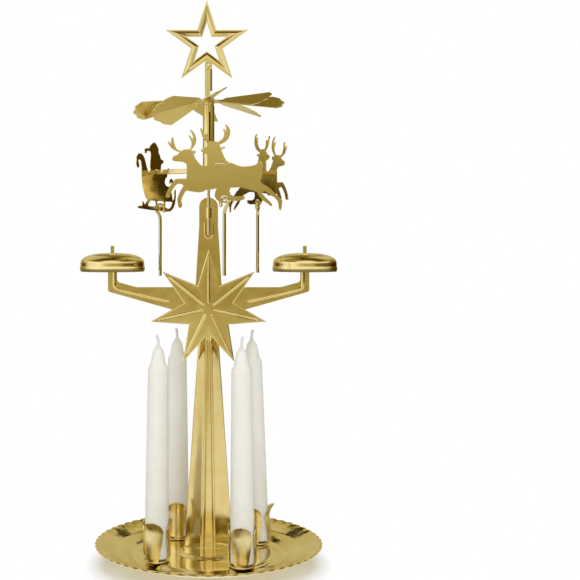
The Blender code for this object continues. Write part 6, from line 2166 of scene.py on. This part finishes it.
    def ramp(self, kit: NodeKit, value: Socket, stops: Sequence[Point2]) -> Socket:
        """Turn a value from 0 to 1 into a grey.

        Args:
            kit: The material's nodes.
            value: The value's socket.
            stops: Place and grey of each stop.

        Returns:
            The grey's socket.
        """
        node = kit.add("ValToRGB", {0: value})
        elements = node.color_ramp.elements
        elements[0].position, elements[1].position = stops[0][0], stops[-1][0]
        elements[0].color = (stops[0][1],) * 3 + (1.0,)
        elements[1].color = (stops[-1][1],) * 3 + (1.0,)
        for place, grey in stops[1:-1]:
            elements.new(place).color = (grey, grey, grey, 1.0)
        return node.outputs[0]

    def walls(self) -> None:
        """Stand the round wall and ceiling that only the brass mirrors."""
        BENCH.deselect()
        bpy.ops.mesh.primitive_uv_sphere_add(segments=64, ring_count=32, radius=self.wall_radius)
        piece = BENCH.take("studio_walls")
        bpy.ops.mesh.bisect(plane_co=(0, 0, -0.001), plane_no=(0, 0, 1), clear_inner=True)
        BENCH.clean()
        material, kit = bare_material("wall_card")
        place = kit.place()
        turn = self.turn(kit, place)
        rise = kit.math("DIVIDE", kit.parts(place)[2], self.wall_radius)
        wall = kit.mix(self.ramp(kit, rise, self.high_share), self.ramp(kit, turn, self.low_wall),
                       self.ramp(kit, turn, self.high_wall))
        wall = kit.mix(self.ramp(kit, rise, self.top_share), wall, self.ramp(kit, turn, self.top_wall))
        grey = kit.mix(1.0, wall, self.ramp(kit, rise, self.ceiling), "MULTIPLY")
        uneven = kit.span(kit.noise(place, 1.6), 0.3, 0.7, 0.88, 1.12)
        level = kit.math("MULTIPLY", grey, uneven)
        self.glow(kit, self.warmed(kit, level))
        piece.data.materials.append(material)
        self.mirror_only(piece)

    def glow(self, kit: NodeKit, colour: Socket) -> None:
        """Let a material shine in a colour."""
        glow = kit.add("Emission", {"Color": colour})
        kit.add("OutputMaterial", {"Surface": glow.outputs[0]})

    def mirror_only(self, piece: Piece) -> None:
        """Hide a studio card from all but reflections.

        Args:
            piece: The card.
        """
        piece.visible_camera = False
        piece.visible_diffuse = False
        piece.visible_shadow = False
        piece.visible_transmission = False

    def flag_cards(self) -> None:
        """Hang the dark cards that the tray's far rim and the rear figures mirror."""
        material, kit = bare_material("flag_card")
        level = kit.span(kit.noise(kit.place(), 4.0), 0.3, 0.7, 0.02, 0.05)
        self.glow(kit, self.warmed(kit, level))
        for number, (place, size) in enumerate(self.flags):
            BENCH.deselect()
            facing = (-Vector(place)).to_track_quat("Z", "Y").to_euler()
            bpy.ops.mesh.primitive_plane_add(size=1.0, location=place, rotation=facing)
            bpy.ops.transform.resize(value=(*size, 1.0), orient_type="LOCAL")
            piece = BENCH.take(f"flag_card_{number + 1}")
            BENCH.shut()
            piece.data.materials.append(material)
            self.mirror_only(piece)

    def hang(self, data: bpy.types.ID, place: Point3, facing: Sequence[float]) -> Piece:
        """Put a lamp or a camera in its place.

        Args:
            data: The lamp or the camera.
            place: Where it hangs.
            facing: Its turn about X, Y and Z.

        Returns:
            The item.
        """
        item = bpy.data.objects.new(data.name, data)
        bpy.context.scene.collection.objects.link(item)
        item.location = place
        item.rotation_euler = facing
        return item

    def lamp(self, name: str, place: Point3, size: float, energy: float, shadow: bool) -> None:
        """Hang one soft lamp that looks at the object's middle.

        Args:
            name: The lamp's name.
            place: Where it hangs.
            size: The side of its square face.
            energy: Its power in watts.
            shadow: Whether its light throws shadows.
        """
        light = bpy.data.lights.new(name, "AREA")
        light.shape = "SQUARE"
        light.size = size
        light.energy = energy
        light.use_shadow = shadow
        way = Vector(self.lamp_aim) - Vector(place)
        item = self.hang(light, place, way.to_track_quat("-Z", "Y").to_euler())
        item.visible_glossy = False

    def world(self) -> None:
        """Make the surroundings: a plain soft light, seen as plain white."""
        world = bpy.data.worlds.new("studio_world")
        bpy.context.scene.world = world
        world.use_nodes = True
        world.node_tree.nodes.clear()
        kit = NodeKit(world.node_tree)
        rays = kit.add("LightPath").outputs
        seen = kit.math("MAXIMUM", rays["Is Camera Ray"], rays["Is Glossy Ray"])
        seen = kit.math("MAXIMUM", seen, rays["Is Transmission Ray"])
        soft, white = (kit.add("Background", {"Color": WHITE, "Strength": strength})
                       for strength in (self.world_strength, 1.0))
        both = kit.blend(seen, soft, white)
        kit.add("OutputWorld", {"Surface": both.outputs[0]})

    def camera(self) -> None:
        """Set the camera at the photograph's angle."""
        data = bpy.data.cameras.new("camera")
        data.sensor_width = 36.0
        data.lens = self.lens
        data.shift_x, data.shift_y = self.shift
        data.clip_start = 0.01
        data.clip_end = 50.0
        bpy.context.scene.camera = self.hang(data, self.camera_place, (pi / 2, 0, 0))

    def build(self) -> None:
        """Set up the whole studio."""
        bpy.context.scene.view_settings.view_transform = "Standard"
        self.camera()
        self.world()
        self.floor()
        self.walls()
        self.flag_cards()
        for lamp in self.lamps:
            self.lamp(*lamp)


def main() -> None:
    """Build the carousel's pieces in order."""
    assemblies = (Studio(), DripTray(), FlutedPost(), CrossPanel(), SevenPointStar(), Bells(),
                  CandleClips(), Candles(), RotorSpindle(), VaneWheel(), TopStar(),
                  FigureCarrier(), FlatFigures(), Strikers())
    for assembly in assemblies:
        LOG.info("building %s", type(assembly).__name__)
        assembly.build()


if __name__ == "__main__":
    main()
